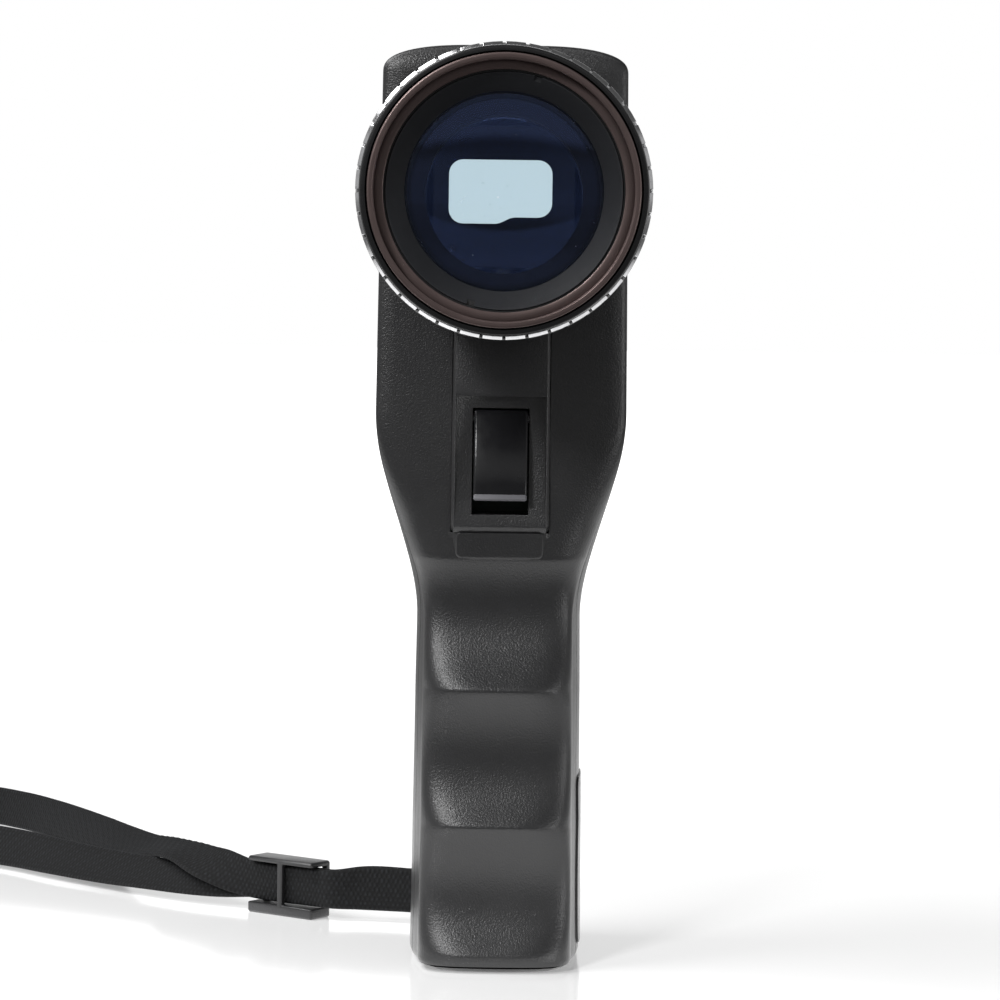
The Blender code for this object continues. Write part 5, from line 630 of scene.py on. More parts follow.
def bodyGrid(z, inset=0.0, scooped=True):
    # Outline of the body at each height: a crowned front face, a rounded front corner, a swelling side, a rounded
    # rear corner and a flat back, then the same mirrored. Finger grooves scoop the front by (1 - s squared) between
    # ridges, where s runs from -1 to 1 up each groove.
    f, z = form, z[:, None]
    low, high = f["shoulder"]
    shoulder = ease((z - low) / (high - low))
    neck = ease((z - low) / (f["stripBottom"] - low))
    above = ease((z - f["stripBottom"]) / (high - f["stripBottom"]))
    rise = np.clip((z - (f["total"] - inset - f["arch"])) / f["arch"], 0.0, 1.0)
    roof = mix(f["roofLeast"], 1.0, (1.0 - rise ** f["roofBend"][0]) ** f["roofBend"][1])
    under = np.clip(f["footRound"] - z, 0.0, f["footRound"])
    foot = f["footRound"] - np.sqrt(f["footRound"] ** 2 - under ** 2)
    edge = f["topRound"] * (1.0 - np.sqrt(np.maximum(1.0 - rise * rise, 0.0)))
    upper = mix(f["boxHalf"], f["topHalf"], (z - high) / (f["total"] - high))
    lower = mix(f["foot"], f["waist"], z / low)
    sloping = mix(f["boxHalf"], f["waist"], ease(np.maximum((high - z) / (high - low), 0.0) ** f["lean"]))
    half = np.where(z >= high, upper, np.where(z <= low, lower, sloping))
    widest = (half - inset) * roof - foot
    side = widest - f["sideTaper"] * (1.0 - shoulder)
    ridges = np.array(f["ridges"])
    which = np.clip(np.searchsorted(ridges, z, side="right") - 1, 0, 2)
    share = (z - ridges[which]) / (ridges[which + 1] - ridges[which])
    scoop = np.where((z > ridges[0]) & (z < ridges[3]), np.maximum(1.0 - (2.0 * share - 1.0) ** 2, 0.0), 0.0)
    scoop = scoop * scoop / (scoop + f["ridgeRound"]) * (1.0 + f["ridgeRound"])
    forward = ease((z - ridges[2]) / (ridges[3] - ridges[2]))
    front = mix(f["gripFront"], f["boxFront"], forward) + f["groove"] * scoop
    if not scooped:
        scoop = np.ones_like(z)
        front = mix(f["gripFront"] + f["groove"], f["boxFront"], neck)
    corner = mix(mix(f["gripCorner"] - f["groove"] * scoop, f["neckCorner"], neck), f["boxCorner"], above)
    front = front + inset + foot + edge
    swell = f["swell"] * np.sin(np.pi * np.minimum(z / f["split"], 1.0))
    out = ease((z - (f["underside"] - f["undersideRound"])) / (2 * f["undersideRound"]))
    rear = mix(f["gripRear"] + swell, f["boxRear"], out) - inset - foot - edge
    middle = mix(mix(front, rear, f["widestShare"]), front + corner * 2, shoulder)
    rearX = mix(f["rearCorner"], f["boxRearCorner"], shoulder) * roof
    rearY = mix((rear - front) * f["rearShare"], f["boxRearCorner"], shoulder)
    crown = f["crown"] * (1.0 - above)
    turnY = front + crown + corner
    # The front is a superellipse |x / side| ^ n + |y / depth| ^ n = 1, with n chosen so that it keeps near the
    # flat face and its round corner: higher where the corner is small beside the width.
    power = mix(mix(*f["gripPowers"], scoop), mix(*f["neckPowers"], above), neck)
    a = np.linspace(0.0, np.pi / 2, 29)[:-1]
    bent = np.arctan2(np.sin(a) * (side / np.maximum(crown + corner, 1e-4)) ** 0.5, np.cos(a))
    reach = (np.abs(np.sin(bent)) ** power + np.abs(np.cos(bent)) ** power) ** (-1.0 / power)
    swelling, flank = (np.linspace(0.0, 1.0, count)[:-1] for count in (15, 9))
    close = np.linspace(0.0, 1.0, 8)
    a = np.linspace(0.0, np.pi / 2, 17)[:-1]
    runs = (
        (side * reach * np.sin(bent), turnY - (crown + corner) * reach * np.cos(bent)),
        (side + (widest - side) * (1.0 - (1.0 - swelling) ** 2), mix(turnY, middle, swelling)),
        (widest + 0.0 * flank, mix(middle, rear - rearY, flank)),
        (widest - rearX * (1.0 - np.cos(a)), rear - rearY * (1.0 - np.sin(a))),
        ((widest - rearX) * (1.0 - close), rear + 0.0 * close),
    )
    x, y = (np.concatenate(run, 1) for run in zip(*runs))
    x, y = np.hstack([x, -x[:, -2:0:-1]]), np.hstack([y, y[:, -2:0:-1]])
    return np.stack([x, y, np.broadcast_to(z, x.shape)], -1)


def bodyHeights():
    # Rows close together in the grooves and the roof's arch, wider elsewhere.
    low, high = form["shoulder"]
    ridges = form["ridges"]
    u = np.linspace(0.0, 1.0, 34)[:-1]
    crowded, even = form["bunching"]
    bent = 0.5 - 0.5 * np.sin(np.pi * (0.5 - u)) * crowded - even * (0.5 - u)
    grooves = np.concatenate([ridges[i] + (ridges[i + 1] - ridges[i]) * bent for i in range(3)])
    foot = np.linspace(form["shellBottom"], ridges[0], 7)[:-1]
    upper = np.linspace(ridges[3], form["straight"], 50)[:-1]
    spring = form["total"] - form["arch"]
    box = np.linspace(form["straight"], spring, 14)[:-1]
    arch = spring + form["arch"] * np.sin(np.linspace(0.0, np.pi / 2, 22))
    return np.concatenate([foot, grooves, upper, box, arch])


def outerSkin(name, inset=0.0):
    return gridPiece(name, bodyGrid(bodyHeights(), inset), mouldedAbs, None, caps=True, sharp=50.0)


def cavity():
    low, high = form["shoulder"]
    roof = form["total"] - form["wall"]
    arch = roof - form["arch"] * (1 - np.sin(np.linspace(0.0, np.pi / 2, 8)))
    z = np.concatenate([form["cavityFoot"], np.linspace(low, high, 9), arch])
    rings = bodyGrid(np.maximum(z, form["footRound"]), form["wall"], scooped=False)
    rings[..., 2] = z[:, None]
    return cuttingTool(rings)


def shell(name, node, tools, inset=0.0, body="body"):
    # A moulding: the outer skin, cut by each tool in turn. A tool may come with the operation and the solver.
    piece = outerSkin(name, inset)
    for tool in tools:
        cut(piece, *(tool if isinstance(tool, tuple) else (tool,)))
    shade(piece.data, 38.0)
    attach(piece, body)
    return standsFor(piece, node)


def roundedOutline(half, corner, steps=9):
    # A rectangle with round corners about the origin, from its right side anticlockwise.
    angle = np.linspace(0.0, np.pi / 2, steps)
    quarter = np.stack([half[0] - corner + corner * np.cos(angle), half[1] - corner + corner * np.sin(angle)], 1)
    back = quarter[::-1]
    return np.concatenate([quarter, back * (-1, 1), -quarter, back * (1, -1)])


def sillTool():
    # The raised sill under the trigger strip: a flat patch with sloping sides, sinking into the grip at its foot.
    # Rows are y and how far the outline has grown.
    sill = {"half": (0.007, 0.0021), "corner": 0.0009, "z": 0.0707, "top": 0.0727, "slope": 0.2}
    rows = (
        (-0.0128, 0.00095), (-0.0149, 0.00095), (-0.0151, 0.0007), (-0.0155, 0.00034), (-0.0158, 0.00012),
        (-0.0159, 0.0), (-0.0159, -0.0003), (-0.0159, -0.0008),
    )
    rings = []
    for y, grow in rows:
        outline = roundedOutline(np.array(sill["half"]) + grow, sill["corner"] + grow)
        z = outline[:, 1] + sill["z"]
        rings.append(np.stack([outline[:, 0], y + (sill["top"] - z) * sill["slope"], z], 1))
    return cuttingTool(np.stack(rings))


doorForm = {"centre": (0.0029, 0.0171), "half": (0.0071, 0.014), "corner": 0.0018, "reach": (0.007, 0.029)}


def doorTool(grow):
    # The door's rounded outline, carried through the side of the grip.
    outline = roundedOutline(np.array(doorForm["half"]) + grow, doorForm["corner"] + grow)
    y, z = (outline + doorForm["centre"]).T
    rings = np.stack([np.stack([np.full_like(y, x), y, z], 1) for x in doorForm["reach"]])
    return cuttingTool(rings)


def screwHoles(places, start, end, radius=0.0022):
    return [toolRod([(radius, start), (radius, end)], (x, 0.0, z)) for x, z in places]


def slab(y=(-0.1, 0.1), z=(-0.1, 0.3)):
    # A cutting block right across the body. The limits it starts with lie beyond every piece.
    return toolBlock((-0.1, y[0], z[0]), (0.1, y[1], z[1]))


coverScrews = [(side * 0.0158, z) for z in (0.0973, 0.1421) for side in (-1, 1)]
gripScrews = [(0.0, 0.04), (0.0, 0.056)]
shell("mainHousingSkin", "main_housing", [
    cavity(), toolRod([(0.0163, -0.02), (0.0163, -0.01)], (0.0, 0.0, lensZ), 128), (sillTool(), "UNION"),
    toolBlock((-0.00809, -0.03, 0.07277), (0.00809, -0.0074, 0.1075)),
    slab((-0.005, 0.1), (-0.1, form["split"])), slab((0.03, 0.1)),
])
print("main housing made")
shell("rearCoverSkin", "rear_cover", [
    cavity(), toolRod([(0.0103, 0.035), (0.0103, 0.05)], (0.0, 0.0, lensZ), 96),
    slab((-0.1, 0.0303)), slab(z=(-0.1, form["split"])),
    *screwHoles(coverScrews, 0.0372, 0.045),
])
print("rear cover made")
shell("gripBackSkin", "grip_back", [
    cavity(), slab((-0.1, -0.0047)), slab(z=(form["split"] - form["gap"], 0.3)),
    *screwHoles(gripScrews, 0.018, 0.03), doorTool(form["gap"]),
])
shell("batteryDoorSkin", "battery_door", [
    (outerSkin("tool", 0.0016), "DIFFERENCE", "EXACT"), (doorTool(0.0), "INTERSECT"),
], -form["gap"], "battery_door")
print("grip mouldings made")

softCopy("base_plate", mouldedAbs, 0.12, 2, "basePlateSkin")


stripLip = {"top": 0.07281, "behind": -0.015, "forward": 0.00042}


def steepLip(points):
    # The strip's foot slopes back by 30 degrees instead of 45, so that it mirrors the floor.
    lip = (points[:, 2] < stripLip["top"]) & (points[:, 1] < stripLip["behind"])
    points[lip, 1] -= stripLip["forward"]
    return points


softCopy("trigger_housing", mouldedAbs, 0.16, 3, "triggerHousingSkin", reshape=steepLip)


def sideProfile(name, outline, half, edge, material):
    # A (y, z) outline carried across in x. Its ends are inset by edge * (1 - cos a) along the outline's own normals
    # while x goes out by edge * sin a, so that all its long edges are quarter rounds.
    runs = (np.roll(outline, -1, axis=0) - outline, outline - np.roll(outline, 1, axis=0))
    ahead, behind = (run / np.linalg.norm(run, axis=1)[:, None] for run in runs)
    normal = (ahead + behind)[:, ::-1] * (1, -1)
    normal /= np.sum(normal * (ahead[:, ::-1] * (1, -1)), axis=1)[:, None]
    y, z = outline.T
    inward = -normal * np.sign(np.sum(y * np.roll(z, -1) - np.roll(y, -1) * z))
    angle = np.linspace(0.0, np.pi / 2, 5)
    angle = np.concatenate([-angle[::-1], angle])
    x = np.repeat([-1, 1], 5) * (half - edge) + edge * np.sin(angle)
    flat = outline + inward * (edge * (1 - np.cos(angle)))[:, None, None]
    rings = np.concatenate([np.broadcast_to(x[:, None, None], (*flat.shape[:2], 1)), flat], -1)
    return gridPiece(name, rings, material, None, caps=True)


def triggerSkin():
    # The rocker's face bends forward as it comes down, by a cubic through its four worked (z, y), and ends in a
    # narrow toe. The pin's bore, the nose for the switch and the spring's pocket are behind.
    rocker = {
        "worked": ((92.9, -14.74), (89.6, -15.91), (84.8, -17.24), (79.8, -18.0)), "foot": 79.3, "half": 0.0044,
        "edge": 0.0004, "topRound": 0.45, "pin": (0.0, -0.0114, 0.0915), "toe": (-0.018, 0.07922),
        "nose": ((-0.0011, -0.0103, 0.0816), (0.0011, -0.0059, 0.0838)),
        "bore": [(0.00083, -0.006), (0.00083, 0.006)], "pocket": [(0.0021, -0.013), (0.0021, -0.009)],
        "pocketAt": (0.0, 0.0, 0.0793),
    }
    heights, depths = np.array(rocker["worked"]).T
    curve = np.polyfit(heights, depths, 3)
    face = [[float(np.polyval(curve, z)), float(z), 0.0] for z in np.linspace(heights[0], rocker["foot"], 14)[:-1]]
    face[0][2] = rocker["topRound"]
    toe = [
        (-18.02, 79.2, 0.05), (-18.38, 78.6, 0.1), (-18.35, 78.3, 0.12), (-17.6, 78.1, 0.2), (-11.45, 78.1),
        (-9.95, 81.1), (-9.95, 92.9),
    ]
    piece = sideProfile("triggerSkin", filleted(face + toe), rocker["half"], rocker["edge"], polishedAbs)
    cut(piece, toolBlock(*rocker["nose"]), "UNION")
    bore = toolRod(rocker["bore"], (0.0, 0.0, 0.0), 24)
    bore.data.transform(Matrix.Translation(rocker["pin"]) @ turned(90, "Z"))
    cut(piece, bore)
    cut(piece, toolRod(rocker["pocket"], rocker["pocketAt"], 24))
    x, y, z = vectors(piece.data.polygons, "center").T
    # The toe's faces take the light grey of the painted highlight.
    paintFaces(piece, rubbedAbs, (y < rocker["toe"][0]) & (z < rocker["toe"][1]))
    shade(piece.data, 40.0)
    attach(piece, "trigger")
    standsFor(piece, "trigger")


triggerSkin()


# Barrel and rings

def turnedPiece(name, corners, material, body, node, segments=192, steps=4, bore=None):
    profile = filleted(corners, steps)
    piece = gridPiece(name, spun(profile, segments), material, body, closeRows=True)
    if bore:
        # Faces inside the bore's (radius, y) limit are painted black.
        middle = (profile + np.roll(profile, -1, axis=0)) / 2
        paintFaces(piece, lampBlack, np.repeat((middle < np.array(bore) * mm).all(axis=1), segments))
    return standsFor(piece, node)


def filterRing():
    # Front ring with the filter thread in its mouth. The thread is a helix: its depth is a triangle wave of
    # (y - pitch * angle / 2 pi) / pitch, fading at both ends.
    ring = {
        "pitch": 0.0005, "depth": 0.00022, "mouth": 0.02, "thread": (-0.05355, -0.0569), "rows": 72,
        "ends": (-0.0568, -0.0534), "fade": 0.0003, "segments": 256,
    }
    outside = filleted([
        (20.15, -57, 0.08), (20.85, -57, 0.12), (21, -56.85, 0.12), (21, -49.2, 0.1), (19.9, -49.2), (19.9, -52.9),
        (18.6, -52.9), (18.6, -53.5, 0.1), (19.85, -53.6),
    ], 3)
    y = np.linspace(*ring["thread"], ring["rows"])[:, None]
    angle = np.linspace(0.0, 2 * np.pi, ring["segments"], endpoint=False)
    wave = np.abs((y - ring["pitch"] * angle / (2 * np.pi)) / ring["pitch"] % 1.0 - 0.5) * 2.0
    fade = np.clip(np.minimum(y - ring["ends"][0], ring["ends"][1] - y) / ring["fade"], 0.0, 1.0)
    radius = ring["mouth"] + ring["depth"] * wave * fade
    points = np.vstack([spun(outside, ring["segments"]), aboutLens(radius, angle, y)])
    piece = gridPiece("filterRingTurned", points, brownAnodised, "body", closeRows=True, sharp=32.0)
    standsFor(piece, "filter_ring")


filterRing()

retaining = turnedPiece("retainingRingTurned", [
    (18.1, -52.9, 0.15), (18.28, -52.9, 0.1), (18.28, -49.7), (15.5, -49.7, 0.1), (15.38, -50.2, 0.1),
], flatEnamel, "body", "lens_retaining_ring", 240)
notches = {"at": (16.0, 196.0), "low": (-0.0006, -0.054, 0.01745), "high": (0.0006, -0.0521, 0.019)}
for degrees in notches["at"]:
    notch = toolBlock(notches["low"], notches["high"])
    notch.data.transform(Matrix.Translation((0.0, 0.0, lensZ)) @ turned(degrees, "Y"))
    cut(retaining, notch)
retaining.data.set_sharp_from_angle(angle=np.radians(35.0))


# One rib and its gap round a knurled band: share of the pitch, share of the depth, and 1 where it may be bright
ribForm = np.array([
    (0.0, 0.1, 1), (0.01, 0.025, 1), (0.025, 0.0, 1), (0.42, 0.0, 1), (0.82, 0.0, 1), (0.838, 0.025, 1),
    (0.85, 0.1, 0), (0.866, 0.93, 0), (0.88, 1.0, 0), (0.92, 1.0, 0), (0.97, 1.0, 0), (0.984, 0.93, 0),
])


def knurledRing(name, node, body, before, band, after, knurl, material=blackAnodised,
                bright=None):
    # Plain outline rows in millimetres, then knurled rows (radius, y, share of the knurl's depth), then plain rows,
    # closed into a ring. Bright gives the first band row whose lands are cut bright, and how many rows are.
    rows = np.array([(*row, 0.0)[:3] for row in (*before, *band, *after)]) * (mm, mm, 1.0)
    angle = knurl["phase"] + 2 * np.pi * (np.arange(knurl["count"])[:, None] + ribForm[:, 0]) / knurl["count"]
    angle, drop = angle.reshape(-1), np.tile(ribForm[:, 1] * knurl["depth"], knurl["count"])
    points = aboutLens(rows[:, :1] - rows[:, 2:] * drop, angle, rows[:, 1:2])
    piece = gridPiece(name, points, material, body, closeRows=True, sharp=28.0)
    if bright:
        first = len(before) + bright[0]
        lands = np.zeros(points.shape[:2])
        lands[first:first + bright[1]] = np.tile(ribForm[:, 2], knurl["count"])
        paintFaces(piece, brightCut, lands)
    return standsFor(piece, node)


knurledRing(
    "exposureRingKnurled", "exposure_ring", "exposure_ring",
    [(21.3, -56.4), (21.7, -56.4), (21.95, -56.35), (22.1, -56.22), (22.18, -56), (22.2, -55.7), (22.2, -54.4)],
    [(22.22, -54.2, 0), (22.3, -54.16, 0.2), (22.38, -54.09, 0.4), (22.7, -53.77, 0.9), (22.81, -53.66, 1),
     (22.85, -53.45, 1), (22.85, -51, 1), (22.85, -48.65, 1), (22.78, -48.48, 1), (22.6, -48.4, 0.8)],
    [(19.9, -48.4), (19.9, -48.9), (21.3, -48.9)],
    {"depth": 0.00045, "count": 40, "phase": 0.0}, bright=(1, 3),
)
knurledRing(
    "speedRingKnurled", "speed_ring", "speed_ring",
    [(19.9, -48.1)],
    [(22.7, -48.1, 0.7), (22.93, -48.03, 1), (23, -47.9, 1), (23, -44.5, 1), (23, -41.3, 1), (22.9, -41.1, 1),
     (22.5, -41, 0.5)],
    [(21.7, -40.6), (21.6, -40.4), (21.6, -32.3), (21.5, -32.1), (19.9, -32.1)],
    {"depth": 0.00045, "count": 40, "phase": np.radians(2.75)}, bright=(0, 1),
)
knurledRing(
    "dioptreRingMoulded", "dioptre_ring", "dioptre",
    [(10.3, 44.8)],
    [(13.4, 44.8, 0.7), (13.66, 44.88, 1), (13.8, 45.1, 1), (13.8, 47.4, 1), (13.8, 49.7, 1), (13.7, 49.92, 1),
     (13.4, 50, 0.6)],
    [(11.8, 50), (11.8, 53.4), (11.7, 53.6), (8.7, 53.6), (8.55, 53.45), (8.55, 49.5), (7.6, 49.5), (7.6, 48.7),
     (10.3, 48.7)],
    {"depth": 0.0004, "count": 24, "phase": 0.0}, polishedAbs,
)
turnedPiece("eyecupMoulded", [
    (11.95, 50.3), (13.15, 50.3, 0.3), (14.8, 54, 1), (15.7, 56, 0.8), (15.3, 57, 0.3),
    (13.8, 57, 0.3), (13.8, 56, 0.5), (11.95, 53.6, 0.3),
], softRubber, "dioptre", "eyecup", 160, 6)
turnedPiece("eyepieceTubeTurned", [
    (8.6, 32, 0.1), (10, 32, 0.1), (10, 43.3), (12.3, 43.3, 0.1), (12.3, 44.5, 0.1),
    (10, 44.5), (10, 48.4, 0.1), (8.6, 48.4, 0.1),
], innerAbs, "body", "eyepiece_tube", 128, 3)
turnedPiece("scaleSleeveTurned", [
    (19.9, -31.8), (21, -31.8, 0.15), (21, -21, 0.15), (19.9, -21),
], blackAnodised, "body", "scale_sleeve")
turnedPiece("indexCollarTurned", [
    (16.3, -20.7), (20.2, -20.7, 0.5), (20.2, -15.3, 0.1), (16.3, -15.3),
], blackAnodised, "body", "index_collar")
turnedPiece("barrelTurned", [
    (18.3, -52.6, 0.1), (19.6, -52.6, 0.1), (19.6, -21), (16, -21), (16, -10.7),
    (13, -10.7), (13, -23), (16.4, -23), (16.4, -48.3), (18.3, -48.3),
], blackAnodised, "body", "barrel_tube", 160, 2, bore=(16.5, -10.5))
print("barrel made")


def lensPiece(name, node, body, material, radius, faces, bulges, segments=96):
    # Two spherical faces, y = edge -/+ bulge * (1 - (r / radius) squared), and a ground edge between them.
    share = np.linspace(0.0, 1.0, 28)
    bow = 1.0 - share ** 2
    front = np.stack([radius * share, faces[0] - bulges[0] * bow], 1)
    rear = np.stack([radius * share, faces[1] + bulges[1] * bow], 1)[::-1]
    points = spun(np.vstack([front, rear]), segments)
    return standsFor(gridPiece(name, points, material, body, sharp=40.0, merge=True), node)


turnedPiece("apertureStopTurned", [
    (15.2, -44.8), (16.25, -44.8), (16.25, -23.2), (15.2, -23.2), (15.2, -29.3), (12.8, -29.3), (12.6, -29.5),
    (15.2, -30.5),
], lampBlack, "body", "aperture_stop", 128, 2)
lensPiece(
    "frontLensGround", "front_lens", "body", bloomedGlass,
    radius=0.0161, faces=(-0.0491, -0.046), bulges=(0.0013, -0.0014), segments=128,
)
lensPiece(
    "rearLensGround", "rear_lens", "body", crownGlass,
    radius=0.01285, faces=(-0.0171, -0.0145), bulges=(-0.0015, 0.0015),
)
lensPiece(
    "eyepieceLensGround", "eyepiece_lens", "dioptre", crownGlass,
    radius=0.00825, faces=(0.0498, 0.052), bulges=(0.00025, 0.0005),
)

# A thin frosted plate just behind the window mask
screenPlate = toolBlock((-0.0099, -0.0083, lensZ - 0.009), (0.0099, -0.0076, lensZ + 0.009))
screenPlate.name = "finderScreenPlate"
screenPlate.data.materials[0] = frostedScreen
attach(screenPlate, "body")


def fieldMask():
    # A square plate with the finder's window, whose right half's foot is a step higher. Both outlines have the same
    # number of points, so that the plate is one ring of quads: its rows run from the outer edge to the window and
    # back behind.
    mask = {
        "half": 0.0118, "window": (0.00865, 0.00535), "corner": 0.0024, "step": 0.0011, "shift": (-0.0006, 0.0009),
        "slope": (-0.0008, 0.0024), "below": (-0.002, 0.006), "faces": (-0.0096, -0.0088),
    }
    corner, half = mask["corner"], mask["half"]
    angle = np.linspace(0.0, np.pi / 2, 9)
    arc = np.stack([np.cos(angle), np.sin(angle)], 1)
    inner, outer = [], []
    for signs in ((1, 1), (-1, 1), (-1, -1), (1, -1)):
        bend = (arc if signs[0] == signs[1] else arc[::-1]) * corner
        inner.append((np.array(mask["window"]) - corner + bend) * signs)
        outer.append((half - corner + bend) * signs)
    inner[3][:, 1] += mask["step"]
    share = np.linspace(0.0, 1.0, 6)
    inner.insert(3, np.stack([mix(*mask["slope"], share), mask["step"] * ease(share) - mask["window"][1]], 1))
    outer.insert(3, np.stack([mix(*mask["below"], share), np.full(6, -half)], 1))
    inner, outer = np.vstack(inner) + mask["shift"], np.vstack(outer)
    front, back = mask["faces"]
    rows = []
    for outline, y in ((outer, front), (inner, front), (inner, back), (outer, back)):
        rows.append(np.stack([outline[:, 0], np.full(len(outline), y), outline[:, 1] + lensZ], 1))
    piece = gridPiece("fieldMaskPlate", np.stack(rows), lampBlack, "body", closeRows=True, sharp=30.0)
    standsFor(piece, "field_mask")


fieldMask()


# CAD pieces that keep their shape, and the finish each one gets

finishes = {
    "finder_chassis": innerAbs, "microswitch": innerAbs, "battery_cradle": innerAbs, "control_chip": innerAbs,
    "barrel_nut": blackAnodised, "roof_prism": crownGlass, "beam_splitter": crownGlass, "trigger_pin": groundSteel,
    "trigger_spring": groundSteel, "strap_pin": groundSteel, "microswitch_plunger": nickelPlate,
    "battery_contact_plate": nickelPlate, "battery_contact_spring": nickelPlate, "circuit_board": glassFibre,
    "battery": cellSleeve, "display_module": redAcrylic, "photo_sensor": nickelPlate,
}
for node, material in finishes.items():
    for held in nodes[node].material_slots:
        held.material = material
softCopy("strap_lug", blackenedSteel, 0.12, 3, "strapLugFolded")
for group, count in (("rear_cover", 4), ("grip", 2), ("base", 2), ("lug", 2)):
    for index in range(count):
        screw = f"{group}_screw_{index + 1}"
        softCopy(screw, blackenedSteel, 0.08, 2, screw + "_headed")
print("finishes given")


# Figures wiped into the rings

lettering = {"step": 15.0, "word": 0.0017, "stroke": 0.0013, "capShare": 0.7, "deep": 0.00003}


def figures(name, body, marks, radius):
    # Words set round the lens axis: text x runs along the arc, a = a0 - x / radius, and text y towards the front.
    # Each mark is (word, degrees from the top, y, height); a word of "|" is a plain stroke.
    points, faces, start = [], [], 0
    for word, degrees, y, height in marks:
        curve = bpy.data.curves.new("word", "FONT")
        curve.body, curve.size, curve.extrude = word, height / lettering["capShare"], lettering["deep"]
        curve.align_x, curve.align_y, curve.resolution_u = "CENTER", "CENTER", 2
        holder = addObject("word", curve)
        bpy.context.view_layer.update()
        made = bpy.data.meshes.new_from_object(holder.evaluated_get(bpy.context.evaluated_depsgraph_get()))
        flat = vectors(made.vertices, "co")
        points.append(aboutLens(radius + flat[:, 2], np.radians(degrees) - flat[:, 0] / radius, y - flat[:, 1]))
        faces += [[corner + start for corner in face.vertices] for face in made.polygons]
        start += len(flat)
        bpy.data.objects.remove(holder)
        bpy.data.curves.remove(curve)
        bpy.data.meshes.remove(made)
    piece = meshPiece(name, np.vstack(points), faces, figureEnamel, body, sharp=30.0)


speeds = ("1000", "500", "250", "125", "60", "30", "15", "8", "4", "2", "1")
stops = ("1", "1.4", "2", "2.8", "4", "5.6", "8", "11", "16", "22", "32", "45")
scales = (
    {"name": "speedFigures", "body": "speed_ring", "words": speeds, "first": -75.0, "wordY": -0.0375,
     "strokeY": -0.034, "strokeStep": 15.0, "strokes": 11, "radius": 0.0216},
    {"name": "stopFigures", "body": "body", "words": stops, "first": -82.5, "wordY": -0.0263,
     "strokeY": -0.0298, "strokeStep": 7.5, "strokes": 23, "radius": 0.021},
)
for scale in scales:
    marks = []
    for index, word in enumerate(scale["words"]):
        marks.append((word, scale["first"] + lettering["step"] * index, scale["wordY"], lettering["word"]))
    for index in range(scale["strokes"]):
        degrees = scale["first"] + scale["strokeStep"] * index
        marks.append(("|", degrees, scale["strokeY"], lettering["stroke"]))
    figures(scale["name"], scale["body"], marks, scale["radius"])
print("figures set")


# Floor, world and lamps

times, most, plus, less = ({"operation": kind} for kind in ("MULTIPLY", "MAXIMUM", "ADD", "SUBTRACT"))
backdrop = {"behind": (0.58, 0.9), "leftEdge": (-0.26, -0.08, 0.1), "rightEdge": (0.1, 0.4, 1.0, 0.5)}


def span(low, high, first=0.0, last=1.0):
    # Settings of a smooth step from one value to the other between two limits.
    return {"interpolation_type": "SMOOTHSTEP", 1: low, 2: high, 3: first, 4: last}


def backdropShare(add, way):
    # How bright the backdrop is, by direction: full behind the object, less at its far left and right.
    share = add("MapRange", span(*backdrop["behind"]), {"Value": way["Y"]})
    for edge in ("leftEdge", "rightEdge"):
        share = add("Math", times, {0: share, 1: add("MapRange", span(*backdrop[edge]), {"Value": way["X"]})})
    return share


def makeFloor(look):
    # Glossy white board. Mirrors see it fall away to dark in front of the object and at its far left, and bright
    # close by. For the camera it is white all over and glows a little with distance, so that only shadows show.
    corners = [(x * look["half"], y * look["half"], 0.0) for x, y in ((-1, -1), (1, -1), (1, 1), (-1, 1))]
    mesh = bpy.data.meshes.new("floor")
    mesh.from_pydata(corners, [], [(0, 1, 2, 3)])
    floor = addObject("floor", mesh)
    material, add, shader, place = newMaterial("glossBoard", {"Roughness": look["rough"], "IOR": 1.45})
    path = add("LightPath").outputs
    direct, glossy = path["Is Camera Ray"], path["Is Glossy Ray"]
    depth = add("SeparateXYZ", None, {0: place}).outputs["Y"]
    near = add("MapRange", {1: look["fade"][0], 2: look["fade"][1]}, {"Value": depth})
    near = add("Math", most, {0: near, 1: direct})
    reach = add("VectorMath", {"operation": "LENGTH"}, {0: place}).outputs["Value"]
    direction = add("VectorMath", {"operation": "NORMALIZE"}, {0: place})
    limit = backdropShare(add, add("SeparateXYZ", None, {0: direction}).outputs)
    limit = add("Math", most, {0: limit, 1: direct})
    beyond = add("Math", times, {0: add("MapRange", span(*look["beyond"]), {"Value": reach}), 1: glossy})
    dim = add("Math", {**less, 0: 1.0}, {1: limit})
    dim = add("Math", {**less, 0: 1.0}, {1: add("Math", times, {0: beyond, 1: dim})})
    lit = add("Math", times, {0: near, 1: dim})
    board = add("Mix", twoTones(look["front"], look["colour"]), {0: lit}).outputs[2]
    far = add("MapRange", {1: look["far"][0], 2: look["far"][1], 4: 1.0 - look["least"]}, {"Value": reach})
    close = add("Math", {**times, 1: look["closeGlow"]}, {0: add("Math", less, {0: glossy, 1: beyond})})
    share = add("Math", plus, {0: add("Math", times, {0: far, 1: limit}), 1: close})
    share = add("Math", {**plus, 1: look["least"]}, {0: share})
    seen = add("Math", most, {0: add("Math", most, {0: direct, 1: glossy}), 1: path["Is Transmission Ray"]})
    glow = add("Math", times, {0: add("Math", times, {0: share, 1: seen}), 1: lit})
    shader.inputs["Emission Color"].default_value = (1, 1, 1, 1)
    wire(shader, {"Base Color": board, "Emission Strength": glow})
    mesh.materials.append(material)


makeFloor({
    "half": 6.0, "rough": 0.12, "colour": "#e6e6e6", "front": "#585858", "fade": (-0.105, -0.045), "closeGlow": 0.7,
    "least": 0.25, "far": (0.25, 1.2), "beyond": (0.16, 0.4),
})


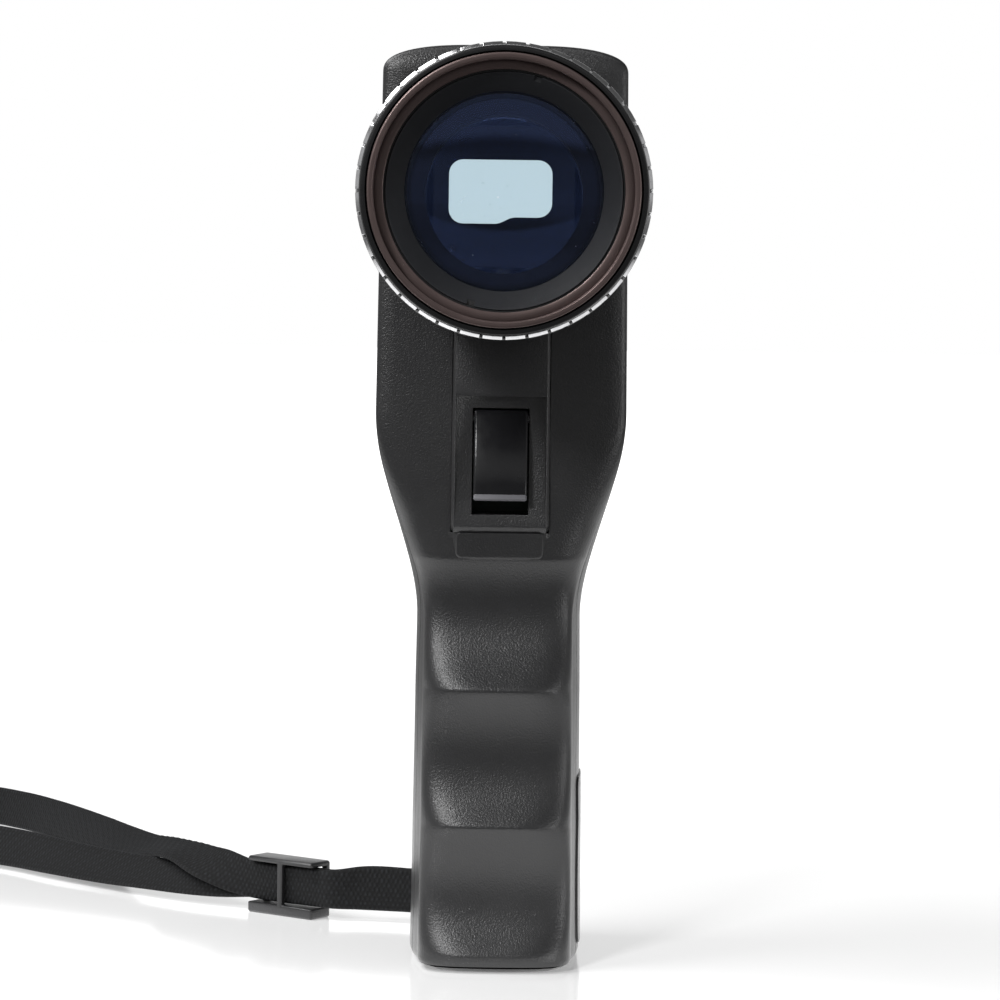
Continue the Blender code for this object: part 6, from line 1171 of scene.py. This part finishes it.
def makeWorld(look):
    # The room, by the direction (x, y, z) in which it is seen: a white backdrop behind the object, dim on its left;
    # in front a grey room at eye level, lighter on its left, with a pale panel just above the camera and dark above
    # that. The camera sees white all round.
    scene.world = bpy.data.worlds.new("studio")
    scene.world.use_nodes = True
    add = partial(addNode, scene.world.node_tree)
    way = add("SeparateXYZ", None, {0: add("TexCoord").outputs["Generated"]}).outputs
    room = add("MapRange", span(*look["roomSides"], *look["room"]), {"Value": way["X"]})
    top = add("MapRange", span(*look["roomTop"], 1.0, 0.0), {"Value": way["Z"]})
    room = add("Math", times, {0: room, 1: top})
    sag = add("Math", {**times, 1: look["sag"]}, {0: add("Math", times, {0: way["X"], 1: way["X"]})})
    height = add("Math", plus, {0: way["Z"], 1: sag})
    foot = add("MapRange", span(*look["panelFoot"], 0.0, look["panel"]), {"Value": height})
    top = add("MapRange", span(*look["panelTop"], 1.0, look["above"]), {"Value": way["Z"]})
    panel = add("Math", times, {0: foot, 1: top})
    light = backdropShare(add, way)
    for other in (room, panel, add("LightPath").outputs["Is Camera Ray"]):
        light = add("Math", most, {0: light, 1: other})
    background = scene.world.node_tree.nodes["Background"]
    wire(background, {"Strength": light})
    background.inputs["Color"].default_value = (1, 1, 1, 1)


makeWorld({
    "roomSides": (-0.6, 0.6), "room": (0.3, 0.18), "roomTop": (0.1, 0.19), "sag": 0.56,
    "panelFoot": (0.2, 0.23), "panelTop": (0.36, 0.48), "panel": 0.6, "above": 0.2,
})


def makeLamp(name, place, target, size, power):
    data = bpy.data.lights.new(name, "AREA")
    data.shape = "RECTANGLE"
    data.size, data.size_y = size
    data.energy = power
    lamp = addObject(name, data)
    lamp.location = place
    lamp.rotation_euler = (Vector(target) - Vector(place)).to_track_quat("-Z", "Y").to_euler()


makeLamp("overheadBox", (-0.45, -0.1, 0.7), (0.0, -0.02, 0.1), (0.5, 0.45), 5.6)
makeLamp("frontBox", (-0.36, -0.72, 0.5), (0.0, 0.0, 0.05), (0.14, 0.14), 4.2)
makeLamp("lowFill", (0.56, -0.56, 0.09), (0.0, 0.0, 0.1), (0.3, 0.12), 0.75)
makeLamp("highBox", (0.0, -0.45, 0.95), (0.0, 0.0, 0.1), (0.5, 0.25), 1.0)
print("stage lit")
